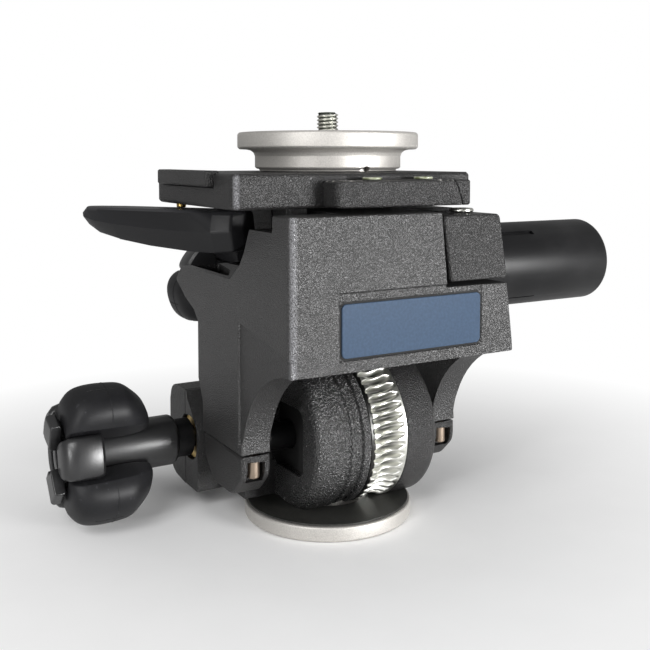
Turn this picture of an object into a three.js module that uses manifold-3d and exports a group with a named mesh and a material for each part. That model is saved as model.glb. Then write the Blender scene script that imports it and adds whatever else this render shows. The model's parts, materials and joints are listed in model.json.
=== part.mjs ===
// A geared tripod head: a round base, a toothed drum that pans on it, a housing that tilts round the drum,
// and a quick release platform with a round camera plate on top.
// Millimetres, +Z up. The origin is on the pan axis at the bottom of the base disc.
// +X runs along the tilt axis, and the nameplate faces -Y.
import * as THREE from "three";
import { mergeVertices } from "three/addons/utils/BufferGeometryUtils.js";
import Module from "manifold-3d";

const wasm = await Module();
wasm.setup();

// Driving dimensions
const GAP = 0.3; // between pieces that touch on the real head
const BASE_R = 37.5; // 75 mm base disc
const BASE_TOP = 6.4;
const WASHER_TOP = 7.3;
const POST_R = 9;
const POST_TOP = 36;
const SPINDLE_R = 12; // hollow foot of the drum round the post
const SOCKET_R = 4.76; // 3/8 inch tripod screw

const TILT_Y = 3; // tilt axis, parallel to X
const TILT_Z = 36.5;
const DRUM_R = 33.5; // cut flat above the base disc
const DRUM_LEFT = -21.5;
const DRUM_RIGHT = 40.3;
const FLANGE_LEFT = 0.3;
const RING_LEFT = 4.4;
const RING_RIGHT = 22.7;
const RING_MID = (RING_LEFT + RING_RIGHT) / 2;
const RING_SEAT_R = 21;
const TRUNNION_R = 6;

const RING_TEETH = 48;
const RING_PITCH_R = 31.1;
const RING_TIP_R = 32.1; // in the bottom of the throat
const RING_ROOT_R = 29.7;
const WORM_PITCH_R = 8.5;
const WORM_AXIS_Z = TILT_Z + RING_PITCH_R + WORM_PITCH_R;

const PAN_TEETH = 28;
const PAN_PITCH_R = 14.2;
const PAN_WHEEL_Z = 30;
const PAN_WHEEL_HALF = 4;
const PAN_WORM_PITCH_R = 8.2;
const PAN_WORM_Y = PAN_PITCH_R + PAN_WORM_PITCH_R;
const PAN_WORM_MIDDLE = -3;
const PAN_KNOB_Y = 38; // pan knob axis, parallel to X
const PAN_KNOB_Z = 31.3;
const PAN_GEAR_TEETH = 18;
const PAN_GEAR_LEFT = -34;
const PAN_GEAR_RIGHT = -28;

const BOX_LEFT = -52; // pan gearbox
const BOX_FRONT = 27.5;
const BOX_REAR = 62;
const BOX_BOTTOM = 7.6;
const BOX_TOP = 52;
const BOX_SPLIT = 42;
const BOX_RIGHT = -18;

const HOUSING_LEFT = -50;
const HOUSING_FRONT = -60;
const HOUSING_REAR = 31;
const HOUSING_BOTTOM = 78;
const HOUSING_TOP = 137.6;
const RIGHT_AT_TOP = 48;
const RIGHT_AT_BOTTOM = 56;
const LEFT_EAR = [-50, -36.8];
const RIGHT_EAR = [47, 59.7];
const EAR_FRONT = -16;
const EAR_REAR = 26;
const LEDGE_Z = 109; // top of the low left wall, under the lever

const KNOB_X = -9; // tilt knob axis, parallel to Y
const KNOB_Z = 94;
const KNOB_GEAR_TEETH = 28;
const WORM_GEAR_TEETH = 14;
const GEARS_FRONT = 20;
const GEARS_REAR = 26;

const PLATFORM_LEFT = -64;
const PLATFORM_RIGHT = 48;
const PLATFORM_FRONT = -41;
const PLATFORM_REAR = 47;
const PLATFORM_BOTTOM = 139.6;
const PLATFORM_TOP = 153.4;

const PLATE_R = 40; // 80 mm camera plate
const PLATE_TOP = 170.5;
const STUD_TOP = 179.5;

const TUBE_Y = -25;
const TUBE_Z = 110;
const TUBE_R = 19.3;
const TUBE_LEFT = 55.2;
const TUBE_RIGHT = 130;

const LEVER_PIVOT = [-47, 5];
const LEVER_TOP = 137.3;
const CATCH_AT = [-57.6, 30];

const ROUND = 40; // sides of a large round face
const MIDDLE_ROUND = 24;
const SMALL_ROUND = 14;

// Materials: colour, roughness, metalness
const finish = {
  casting: [0x1b1b1c, 0.55, 0.1],
  aluminium: [0xb5b0a9, 0.42, 0.9],
  zinc: [0xc9ccbd, 0.3, 0.9],
  steel: [0x8f8f8c, 0.35, 0.95],
  brass: [0xb08d3c, 0.35, 0.95],
  rubber: [0x2b2b2d, 0.65, 0],
  plastic: [0x18181a, 0.5, 0],
  plate: [0x4f6684, 0.45, 0.1],
  washer: [0x15150f, 0.8, 0],
  glass: [0xcfd8a0, 0.1, 0],
};

const root = new THREE.Group();

// A closed solid from any three.js geometry
function solid(geometry) {
  const bare = geometry.index ? geometry.toNonIndexed() : geometry.clone();
  for (const name of Object.keys(bare.attributes)) {
    if (name !== "position") bare.deleteAttribute(name);
  }
  const merged = mergeVertices(bare, 1e-4);
  const corners = merged.index.array;
  const kept = [];
  for (let i = 0; i < corners.length; i += 3) {
    const [a, b, c] = [corners[i], corners[i + 1], corners[i + 2]];
    if (a !== b && b !== c && c !== a) kept.push(a, b, c);
  }
  const vertProperties = merged.attributes.position.array;
  const build = (order) =>
    new wasm.Manifold(new wasm.Mesh({ numProp: 3, vertProperties, triVerts: new Uint32Array(order) }));
  const made = build(kept);
  if (made.volume() > 0) return made;
  return build(kept.reverse());
}

function addNode(name, body, look) {
  const mesh = body.getMesh();
  const geometry = new THREE.BufferGeometry();
  geometry.setAttribute("position", new THREE.BufferAttribute(mesh.vertProperties, 3));
  geometry.setIndex(new THREE.BufferAttribute(mesh.triVerts, 1));
  geometry.computeVertexNormals();
  const [color, roughness, metalness] = finish[look];
  const material = new THREE.MeshStandardMaterial({ color, roughness, metalness, flatShading: true });
  const node = new THREE.Mesh(geometry, material);
  node.name = name;
  root.add(node);
}

// An outline from corners [u, v, radius]; a corner with a radius is rounded
function outline(corners) {
  const shape = new THREE.Shape();
  const count = corners.length;
  corners.forEach(([u, v, radius = 0], i) => {
    const here = new THREE.Vector2(u, v);
    const before = new THREE.Vector2(...corners[(i + count - 1) % count]);
    const after = new THREE.Vector2(...corners[(i + 1) % count]);
    const back = before.sub(here).normalize();
    const ahead = after.sub(here).normalize();
    const reach = radius / Math.tan(Math.acos(THREE.MathUtils.clamp(back.dot(ahead), -1, 1)) / 2);
    const start = here.clone().addScaledVector(back, reach);
    const end = here.clone().addScaledVector(ahead, reach);
    if (i === 0) shape.moveTo(start.x, start.y);
    else shape.lineTo(start.x, start.y);
    if (radius > 0) shape.quadraticCurveTo(here.x, here.y, end.x, end.y);
  });
  shape.closePath();
  return shape;
}

function rectangle(left, low, right, high, radius = 0) {
  return outline([
    [left, low, radius],
    [right, low, radius],
    [right, high, radius],
    [left, high, radius],
  ]);
}

// Extrusion bases: an outline in (Y, Z) runs along X, one in (X, Z) along Y, one in (X, Y) along Z
const bases = {
  x: [new THREE.Vector3(0, 1, 0), new THREE.Vector3(0, 0, 1), new THREE.Vector3(1, 0, 0)],
  y: [new THREE.Vector3(1, 0, 0), new THREE.Vector3(0, 0, 1), new THREE.Vector3(0, -1, 0)],
  z: [new THREE.Vector3(1, 0, 0), new THREE.Vector3(0, 1, 0), new THREE.Vector3(0, 0, 1)],
};

function prism(shape, axis, from, to, bevel = 0, curveSegments = 5) {
  const geometry = new THREE.ExtrudeGeometry(shape, {
    depth: to - from - 2 * bevel,
    bevelEnabled: bevel > 0,
    bevelThickness: bevel,
    bevelSize: bevel,
    bevelOffset: -bevel,
    bevelSegments: 1,
    curveSegments,
  });
  geometry.translate(0, 0, bevel);
  geometry.applyMatrix4(new THREE.Matrix4().makeBasis(...bases[axis]));
  if (axis === "x") geometry.translate(from, 0, 0);
  if (axis === "y") geometry.translate(0, to, 0);
  if (axis === "z") geometry.translate(0, 0, from);
  return solid(geometry);
}

function box(low, high) {
  const size = high.map((value, i) => value - low[i]);
  const geometry = new THREE.BoxGeometry(...size);
  geometry.translate(...low.map((value, i) => value + size[i] / 2));
  return solid(geometry);
}

// A turned solid from [radius, distance along the axis] points, starting and ending on the axis
function turned(profile, axis, centre = [0, 0], sides = ROUND) {
  const geometry = new THREE.LatheGeometry(profile.map(([r, h]) => new THREE.Vector2(r, h)), sides);
  return solid(placeOnAxis(geometry, axis, centre));
}

function placeOnAxis(geometry, axis, [first, second]) {
  if (axis === "x") geometry.rotateZ(-Math.PI / 2).translate(0, first, second);
  if (axis === "y") geometry.translate(first, 0, second);
  if (axis === "z") geometry.rotateX(Math.PI / 2).translate(first, second, 0);
  return geometry;
}

function rod(axis, radius, from, to, centre = [0, 0], sides = SMALL_ROUND, chamfer = 0) {
  const profile = [[0, from], [radius - chamfer, from]];
  if (chamfer > 0) profile.push([radius, from + chamfer], [radius, to - chamfer]);
  profile.push([radius - chamfer, to], [0, to]);
  return turned(profile, axis, centre, sides);
}

function tube(axis, outer, inner, from, to, centre = [0, 0], sides = SMALL_ROUND) {
  return rod(axis, outer, from, to, centre, sides).subtract(rod(axis, inner, from - 1, to + 1, centre, sides));
}

// A skin through rings of points with a fan over each end
function loft(rings) {
  const count = rings[0].length;
  const points = rings.flat();
  const faces = [];
  const middle = (ring) => ring.reduce((sum, p) => sum.map((s, i) => s + p[i] / count), [0, 0, 0]);
  for (let r = 0; r + 1 < rings.length; r++) {
    for (let i = 0; i < count; i++) {
      const [a, b] = [r * count + i, r * count + ((i + 1) % count)];
      faces.push(a, b, b + count, a, b + count, a + count);
    }
  }
  const low = points.push(middle(rings[0])) - 1;
  const high = points.push(middle(rings[rings.length - 1])) - 1;
  const top = (rings.length - 1) * count;
  for (let i = 0; i < count; i++) {
    const next = (i + 1) % count;
    faces.push(low, next, i, high, top + i, top + next);
  }
  const geometry = new THREE.BufferGeometry();
  geometry.setAttribute("position", new THREE.Float32BufferAttribute(points.flat(), 3));
  geometry.setIndex(faces);
  return geometry;
}

// Gears
// Each tooth has four columns: the two edges of its tip and the two edges of the gap beside it.
// rows gives [height, tip radius, root radius]; slant turns each row by its height, for a worm wheel.
function toothedSolid(teeth, rows, axis, centre, { slant = 0, phase = 0, tipShare = 0.15, gapShare = 0.15 } = {}) {
  const pitch = (2 * Math.PI) / teeth;
  const columns = [
    [-tipShare, 1],
    [tipShare, 1],
    [0.5 - gapShare, 0],
    [0.5 + gapShare, 0],
  ];
  const rings = rows.map(([height, tip, rootRadius]) => {
    const ring = [];
    for (let tooth = 0; tooth < teeth; tooth++) {
      for (const [share, isTip] of columns) {
        const angle = (tooth + share) * pitch + phase + slant * height;
        const radius = isTip ? tip : rootRadius;
        ring.push([radius * Math.cos(angle), height, -radius * Math.sin(angle)]);
      }
    }
    return ring;
  });
  return solid(placeOnAxis(loft(rings), axis, centre));
}

// A worm: one helical ridge on a core
function wormSolid({ axis, centre, coreR, tipR, pitch, turns, from, to, middle, foot, crest, phase = 0 }) {
  const steps = 10;
  const total = Math.round(turns * steps);
  const inner = coreR - 0.6;
  const rings = [];
  for (let i = 0; i <= total; i++) {
    const turn = (i - total / 2) / steps;
    const angle = 2 * Math.PI * turn + phase;
    const along = middle + pitch * turn;
    const section = [[inner, -foot], [tipR, -crest], [tipR, crest], [inner, foot]];
    rings.push(section.map(([r, h]) => [r * Math.cos(angle), along + h, r * Math.sin(angle)]));
  }
  const ridge = solid(placeOnAxis(loft(rings), axis, centre));
  return rod(axis, coreR, from, to, centre, steps).add(ridge);
}

const tiltCentre = [TILT_Y, TILT_Z];
const panKnobCentre = [PAN_KNOB_Y, PAN_KNOB_Z];
const panWormCentre = [PAN_WORM_Y, PAN_WHEEL_Z];
const tiltWormCentre = [RING_MID, WORM_AXIS_Z];
const tiltKnobCentre = [KNOB_X, KNOB_Z];
const spurTeeth = { tipShare: 0.12, gapShare: 0.17 };

// Base
function makeBase() {
  const body = turned([[0, 0], [BASE_R - 0.6, 0], [BASE_R, 0.6], [BASE_R, BASE_TOP - 0.5],
    [BASE_R - 0.5, BASE_TOP], [0, BASE_TOP]], "z");
  addNode("base_disc", body.subtract(rod("z", POST_R + GAP, -1, BASE_TOP + 1, [0, 0], MIDDLE_ROUND)), "aluminium");
  addNode("friction_washer", tube("z", BASE_R - 1.2, 16, BASE_TOP + GAP, WASHER_TOP, [0, 0], ROUND), "washer");
  const post = rod("z", POST_R, 0, POST_TOP, [0, 0], MIDDLE_ROUND, 0.5).subtract(rod("z", SOCKET_R, -1, 9));
  addNode("pan_post", post, "steel");
  const low = PAN_WHEEL_Z - PAN_WHEEL_HALF;
  const high = PAN_WHEEL_Z + PAN_WHEEL_HALF;
  const slant = wheelSlant(PAN_TEETH, PAN_PITCH_R, PAN_WORM_PITCH_R);
  const [tip, rootR] = [PAN_PITCH_R + 0.75, PAN_PITCH_R - 1.2];
  const wheel = toothedSolid(PAN_TEETH, [[low, tip, rootR], [high, tip, rootR]], "z", [0, 0],
    { slant, phase: Math.PI / 2 - slant * PAN_WHEEL_Z });
  addNode("pan_wheel", wheel.subtract(rod("z", POST_R + GAP, low - 1, high + 1, [0, 0], MIDDLE_ROUND)), "brass");
}

// How far a worm wheel's teeth turn per millimetre of its width, in radians
function wheelSlant(teeth, pitchR, wormR) {
  const pitch = (2 * Math.PI * pitchR) / teeth;
  return pitch / (2 * Math.PI * wormR) / pitchR;
}

// Drum and pan gearbox
// Room for the knob shaft in the gearbox: the obround slot in its side, the bore, the gear and the tail
function knobShaftRoom() {
  const slot = rectangle(PAN_KNOB_Y - 9, PAN_KNOB_Z - 10.2, PAN_KNOB_Y + 9, PAN_KNOB_Z + 9.7, 8);
  return prism(slot, "x", BOX_LEFT - 1, BOX_LEFT + 4)
    .add(rod("x", 8, BOX_LEFT - 1, PAN_GEAR_LEFT, panKnobCentre, MIDDLE_ROUND))
    .add(rod("x", 9.3, PAN_GEAR_LEFT - 1, PAN_GEAR_RIGHT + 1, panKnobCentre, MIDDLE_ROUND))
    .add(rod("x", 4.6, PAN_GEAR_RIGHT, -22, panKnobCentre));
}

// The drum and its gear are cut flat where they stand over the base disc
const belowDrum = () => box([-60, -60, -5], [60, 60, BOX_BOTTOM]);

function makeDrum() {
  const [y, z] = tiltCentre;
  const barrel = turned([[0, DRUM_LEFT], [DRUM_R - 3.6, DRUM_LEFT], [DRUM_R - 1, DRUM_LEFT + 2.2],
    [DRUM_R, DRUM_LEFT + 5], [DRUM_R, -7.6], [DRUM_R - 1.2, -7], [DRUM_R - 1.2, -5.6], [DRUM_R - 0.4, -5],
    [DRUM_R - 0.4, -3.6], [DRUM_R - 1.4, -3], [DRUM_R - 1.4, FLANGE_LEFT], [DRUM_R, FLANGE_LEFT + 0.4],
    [DRUM_R, RING_LEFT - GAP], [RING_SEAT_R, RING_LEFT - GAP], [RING_SEAT_R, RING_RIGHT], [0, RING_RIGHT]],
    "x", tiltCentre);
  const tall = prism(outline([[BOX_FRONT, BOX_BOTTOM, 2], [BOX_SPLIT, BOX_BOTTOM], [BOX_SPLIT, BOX_TOP],
    [40.5, BOX_TOP, 0.8], [39.5, 48.5, 1.5], [BOX_FRONT, 36.5, 2]]), "x", BOX_LEFT, BOX_RIGHT);
  const bridge = box([LEFT_EAR[1] + 0.4, 10.5, BOX_BOTTOM], [RING_LEFT - GAP - 0.2, PAN_KNOB_Y, 40]);
  const spindle = rod("z", SPINDLE_R, WASHER_TOP + GAP, 20, [0, 0], MIDDLE_ROUND);
  const casting = barrel.add(tall).add(bridge).add(spindle)
    .subtract(rod("z", POST_R + GAP, 0, POST_TOP + 2, [0, 0], MIDDLE_ROUND))
    .subtract(rod("z", 15.3, PAN_WHEEL_Z - PAN_WHEEL_HALF - 0.4, PAN_WHEEL_Z + PAN_WHEEL_HALF + 0.4, [0, 0], MIDDLE_ROUND))
    .subtract(rod("x", PAN_WORM_PITCH_R + 1.3, -11, 3.4, panWormCentre, MIDDLE_ROUND))
    .subtract(rod("x", 4.6, -36, -10, panWormCentre))
    .subtract(rod("x", 9.1, PAN_GEAR_LEFT - 1, PAN_GEAR_RIGHT + 1, panWormCentre, MIDDLE_ROUND))
    .subtract(knobShaftRoom())
    .subtract(rod("x", TRUNNION_R + GAP, DRUM_LEFT - 1, -16.2, tiltCentre, MIDDLE_ROUND))
    .subtract(rod("x", TRUNNION_R + GAP, 15.9, RING_RIGHT + 1, tiltCentre, MIDDLE_ROUND))
    .subtract(prism(rectangle(y - 19.5, z - 14.5, y + 9, z + 15, 5), "x", DRUM_LEFT - 1, DRUM_LEFT + 3.5))
    .subtract(belowDrum());
  addNode("drum_casting", casting, "casting");

  const right = turned([[0, RING_RIGHT + GAP], [DRUM_R - 0.3, RING_RIGHT + GAP], [DRUM_R, RING_RIGHT + 1],
    [DRUM_R, DRUM_RIGHT - 4.5], [DRUM_R - 1.2, DRUM_RIGHT - 1.6], [DRUM_R - 4, DRUM_RIGHT], [0, DRUM_RIGHT]],
    "x", tiltCentre);
  const shell = right.subtract(rod("x", TRUNNION_R + GAP, 20, 45, tiltCentre, MIDDLE_ROUND)).subtract(belowDrum());
  addNode("drum_end_shell", shell, "casting");
  addNode("trunnion_left", rod("x", TRUNNION_R, -48.5, -16.5, tiltCentre, MIDDLE_ROUND, 0.6), "steel");
  addNode("trunnion_right", rod("x", TRUNNION_R, 16.2, 58.2, tiltCentre, MIDDLE_ROUND, 0.6), "steel");

  const bush = prism(rectangle(PAN_KNOB_Y - 8.6, PAN_KNOB_Z - 9.7, PAN_KNOB_Y + 8.6, PAN_KNOB_Z + 9.2, 7.6), "x",
    BOX_LEFT + 1.6, BOX_LEFT + 3.6);
  addNode("pan_shaft_bush", bush.subtract(rod("x", 5.3, BOX_LEFT, BOX_LEFT + 5, panKnobCentre)), "brass");
  makeGearboxCover();
}

function makeGearboxCover() {
  const cover = prism(outline([[BOX_SPLIT + GAP, BOX_BOTTOM], [BOX_REAR, BOX_BOTTOM + 2, 9],
    [BOX_REAR, BOX_TOP, 9], [BOX_SPLIT + GAP, BOX_TOP]]), "x", BOX_LEFT, BOX_RIGHT, 0, 6);
  let closed = cover.subtract(knobShaftRoom());
  const screwPlaces = [[BOX_LEFT + 8, 20], [BOX_RIGHT - 7, 20], [BOX_LEFT + 8, 40], [BOX_RIGHT - 7, 40]];
  screwPlaces.forEach(([x, height], i) => {
    closed = closed.subtract(rod("y", 4.3, BOX_REAR - 2.2, BOX_REAR + 1, [x, height]));
    const head = rod("y", 4, BOX_REAR - 1.9, BOX_REAR + 0.8, [x, height], SMALL_ROUND, 0.4);
    const socket = rod("y", 2.2, BOX_REAR - 0.6, BOX_REAR + 2, [x, height], 6);
    addNode(`gearbox_screw_${i + 1}`, head.subtract(socket), "steel");
  });
  addNode("gearbox_cover", closed, "casting");
}

function makeRingGear() {
  const distance = RING_PITCH_R + WORM_PITCH_R;
  const tipArc = distance - RING_TIP_R;
  const rootArc = distance - RING_ROOT_R;
  const half = (RING_RIGHT - RING_LEFT) / 2;
  const offsets = [-half, -5.4, 0, 5.4, half];
  const arcRadius = (arc, offset) =>
    Math.min(DRUM_R, Math.abs(offset) < arc ? distance - Math.sqrt(arc * arc - offset * offset) : DRUM_R);
  const rows = offsets.map((offset) => [
    RING_MID + offset,
    arcRadius(tipArc, offset),
    arcRadius(rootArc, offset),
  ]);
  const slant = -wheelSlant(RING_TEETH, RING_PITCH_R, WORM_PITCH_R);
  const phase = Math.PI / 2 - slant * RING_MID;
  const ring = toothedSolid(RING_TEETH, rows, "x", tiltCentre, { slant, phase });
  const bore = rod("x", RING_SEAT_R + GAP, RING_LEFT - 1, RING_RIGHT + 1, tiltCentre, MIDDLE_ROUND);
  // Its unused bottom is notched where the drum stands on the post
  const notch = rod("z", SPINDLE_R + GAP, 0, 25, [0, 0], MIDDLE_ROUND);
  addNode("tilt_ring_gear", ring.subtract(bore).subtract(notch).subtract(belowDrum()), "zinc");
}

// Knobs
// A knob is made along +Z from its seat and then turned to its own axis: a sleeve, a core with three broad
// webs and three tabs, and three rubber lobes.
const KNOB = {
  radius: 31,
  lobeBack: 22.5,
  coreBack: 44.5,
  front: 59,
  coreFront: 62.2,
  webR: 23,
  sleeveR: 11.2,
  sleeveFrom: 8,
  tabFront: 65,
  tabReach: 18.8,
  collarR: 8.6,
  lobeHalf: THREE.MathUtils.degToRad(43),
};
const PAN_KNOB_TURN = THREE.MathUtils.degToRad(-75);
const TILT_KNOB_TURN = THREE.MathUtils.degToRad(12);

function knobPlacement(axis, seat, [first, second], turn) {
  const toAxis = new THREE.Matrix4();
  if (axis === "x") {
    toAxis.makeBasis(new THREE.Vector3(0, 1, 0), new THREE.Vector3(0, 0, -1), new THREE.Vector3(-1, 0, 0));
    toAxis.setPosition(seat, first, second);
  } else {
    toAxis.makeBasis(new THREE.Vector3(-1, 0, 0), new THREE.Vector3(0, 0, 1), new THREE.Vector3(0, 1, 0));
    toAxis.setPosition(first, seat, second);
  }
  return toAxis.multiply(new THREE.Matrix4().makeRotationZ(turn));
}

// One lobe about the +Y direction of the knob's own frame
function knobLobe(middle) {
  const { radius, lobeBack, front, lobeHalf } = KNOB;
  // [distance along the axis, outer radius, inner radius, share of the full width]
  const stations = [
    [lobeBack, radius - 12.5, 12.4, 0.68],
    [lobeBack + 2, radius - 8.3, 12.2, 0.82],
    [lobeBack + 6, radius - 4.2, 12.2, 0.93],
    [lobeBack + 10.5, radius - 1, 12.3, 0.98],
    [lobeBack + 16, radius, 12.6, 1],
    [front - 10.5, radius, 14, 1],
    [front - 4.5, radius - 1.8, 15.4, 0.98],
    [front - 1, radius - 6, 16, 0.92],
    [front, radius - 9.5, 16, 0.84],
  ];
  const across = [-1, -0.85, -0.5, 0, 0.5, 0.85, 1];
  const rings = stations.map(([along, outer, inner, share]) => {
    const point = (r, angle) => [r * Math.sin(middle + angle), r * Math.cos(middle + angle), along];
    const half = lobeHalf * share;
    const drop = (t) => outer - (outer - inner) * 0.42 * Math.abs(t) ** 3.2;
    const over = across.map((t) => point(drop(t), t * half));
    const under = [1, 0, -1].map((t) => point(inner, t * half));
    return [...over, ...under];
  });
  return loft(rings);
}

function knobCore() {
  const { coreBack, front, coreFront, webR, tabFront, tabReach } = KNOB;
  // [degrees from a lobe's middle, share of the web's radius]; a share of 0 is the plain hub under a lobe
  const third = [[0, 0], [44.4, 0], [45.6, 0.99], [52, 1], [60, 1]];
  const mirrored = third.slice(1, -1).reverse().map(([a, share]) => [120 - a, share]);
  const turn = [0, 120, 240].flatMap((start) => [...third, ...mirrored].map(([a, share]) => [start + a, share]));
  const levels = [[coreBack, webR - 1.8], [coreBack + 1.6, webR], [front - 2.5, webR], [coreFront - 1.2, webR - 2.6],
    [coreFront, webR - 5.5]];
  let core = solid(loft(levels.map(([along, web]) => turn.map(([degrees, share]) => {
    const angle = THREE.MathUtils.degToRad(degrees);
    const r = share === 0 ? 11.6 : web * share;
    return [r * Math.sin(angle), r * Math.cos(angle), along];
  }))));
  // A tab stands out of the core's front before each lobe
  for (let k = 0; k < 3; k++) {
    const stem = box([-3.6, 7, front - 5], [3.6, 13.2, tabFront - 0.7]);
    const pad = prism(rectangle(-4.9, 7, 4.9, tabReach, 2), "z", front + 0.8, tabFront, 0.6);
    core = core.add(stem.add(pad).rotate([0, 0, -120 * k]));
  }
  return core;
}

// Adds the sleeve, core, screw and lobes, and gives back the shaft's outer part
function makeKnob(prefix, axis, seat, centre, turn, shaftFrom) {
  const place = knobPlacement(axis, seat, centre, turn);
  const put = (geometry) => solid(geometry.applyMatrix4(place));
  const putSolid = (body) => {
    const mesh = body.getMesh();
    const geometry = new THREE.BufferGeometry();
    geometry.setAttribute("position", new THREE.BufferAttribute(new Float32Array(mesh.vertProperties), 3));
    geometry.setIndex(new THREE.BufferAttribute(new Uint32Array(mesh.triVerts), 1));
    return put(geometry);
  };
  const { coreBack, front, coreFront, sleeveR, sleeveFrom, collarR } = KNOB;
  const sleeve = turned([[0, sleeveFrom], [sleeveR - 1.2, sleeveFrom], [sleeveR, sleeveFrom + 1],
    [sleeveR, coreBack - GAP], [0, coreBack - GAP]], "z", [0, 0], MIDDLE_ROUND);
  const bored = sleeve.subtract(rod("z", 5 + GAP, sleeveFrom - 1, coreBack));
  addNode(`${prefix}_knob_sleeve`, putSolid(bored), "plastic");
  const core = knobCore().subtract(rod("z", 5 + GAP, coreBack - 1, front - 8))
    .subtract(rod("z", 6.3, coreFront - 4, coreFront + 4));
  addNode(`${prefix}_knob_core`, putSolid(core), "plastic");
  const screw = rod("z", 6, coreFront - 3.7, coreFront - 0.6, [0, 0], SMALL_ROUND, 0.6)
    .subtract(rod("z", 2.6, coreFront - 2.6, coreFront + 1, [0, 0], 6));
  addNode(`${prefix}_knob_screw`, putSolid(screw), "steel");
  for (let k = 0; k < 3; k++) {
    addNode(`${prefix}_knob_lobe_${k + 1}`, put(knobLobe((2 * Math.PI * k) / 3)), "rubber");
  }
  const collar = rod("z", collarR, 0.5, sleeveFrom - GAP, [0, 0], MIDDLE_ROUND);
  return putSolid(rod("z", 5, shaftFrom, front - 8 - GAP).add(collar));
}

function makePanDrive() {
  const outer = makeKnob("pan", "x", BOX_LEFT, panKnobCentre, PAN_KNOB_TURN, BOX_LEFT - PAN_GEAR_LEFT);
  const radius = Math.hypot(PAN_KNOB_Y - PAN_WORM_Y, PAN_KNOB_Z - PAN_WHEEL_Z) / 2;
  const rows = [[PAN_GEAR_LEFT, radius + 0.6, radius - 0.95], [PAN_GEAR_RIGHT, radius + 0.6, radius - 0.95]];
  const toWorm = Math.atan2(PAN_WHEEL_Z - PAN_KNOB_Z, PAN_WORM_Y - PAN_KNOB_Y);
  const gear = toothedSolid(PAN_GEAR_TEETH, rows, "x", panKnobCentre, { phase: toWorm, ...spurTeeth });
  const tail = rod("x", 4.2, PAN_GEAR_LEFT - 1, -24, panKnobCentre);
  addNode("pan_knob_shaft", outer.add(tail).add(gear), "steel");

  const pitch = (2 * Math.PI * PAN_PITCH_R) / PAN_TEETH;
  const worm = wormSolid({
    axis: "x", centre: panWormCentre, coreR: PAN_WORM_PITCH_R - 1.15, tipR: PAN_WORM_PITCH_R + 0.7, pitch,
    turns: 2.8, from: -10.5, to: 3, middle: PAN_WORM_MIDDLE, foot: 1, crest: 0.42,
    phase: Math.PI + (2 * Math.PI * PAN_WORM_MIDDLE) / pitch,
  });
  const pinion = toothedSolid(PAN_GEAR_TEETH, rows, "x", panWormCentre,
    { phase: toWorm + Math.PI / PAN_GEAR_TEETH, ...spurTeeth });
  addNode("pan_worm", worm.add(rod("x", 4.2, -35, -9, panWormCentre)).add(pinion), "steel");
}

// Tilt housing
function housingBody() {
  const front = outline([[HOUSING_LEFT, HOUSING_BOTTOM, 1], [RIGHT_AT_BOTTOM, HOUSING_BOTTOM, 1],
    [RIGHT_AT_TOP, HOUSING_TOP, 2.5], [HOUSING_LEFT, HOUSING_TOP, 1]]);
  const plan = outline([[HOUSING_LEFT, HOUSING_FRONT, 4.5], [RIGHT_AT_BOTTOM + 1, HOUSING_FRONT, 2.5],
    [RIGHT_AT_BOTTOM + 1, HOUSING_REAR, 5], [HOUSING_LEFT, HOUSING_REAR]]);
  return prism(front, "y", HOUSING_FRONT, HOUSING_REAR)
    .intersect(prism(plan, "z", HOUSING_BOTTOM - 1, HOUSING_TOP + 1));
}

// An arm seen from the side: a concave front edge, an ear at the bottom
function armOutline() {
  const arc = { y: -60, z: 33, r: 45 };
  const shape = new THREE.Shape();
  shape.moveTo(HOUSING_FRONT + 0.6, HOUSING_BOTTOM + 6);
  shape.lineTo(HOUSING_FRONT + 0.6, arc.z + arc.r);
  for (let degrees = 88; degrees >= 10; degrees -= 6) {
    const angle = THREE.MathUtils.degToRad(degrees);
    shape.lineTo(arc.y + arc.r * Math.cos(angle), arc.z + arc.r * Math.sin(angle));
  }
  shape.lineTo(EAR_FRONT, TILT_Z + GAP);
  shape.lineTo(EAR_REAR, TILT_Z + GAP);
  shape.lineTo(EAR_REAR, 50);
  shape.lineTo(HOUSING_REAR, 60);
  shape.lineTo(HOUSING_REAR, HOUSING_BOTTOM + 6);
  shape.closePath();
  return shape;
}

// The bearing bore through both ears, closed at their outer faces
const trunnionBore = () => rod("x", TRUNNION_R + GAP, LEFT_EAR[0] + 1.2, RIGHT_EAR[1] - 1.2, tiltCentre, MIDDLE_ROUND);

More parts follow.
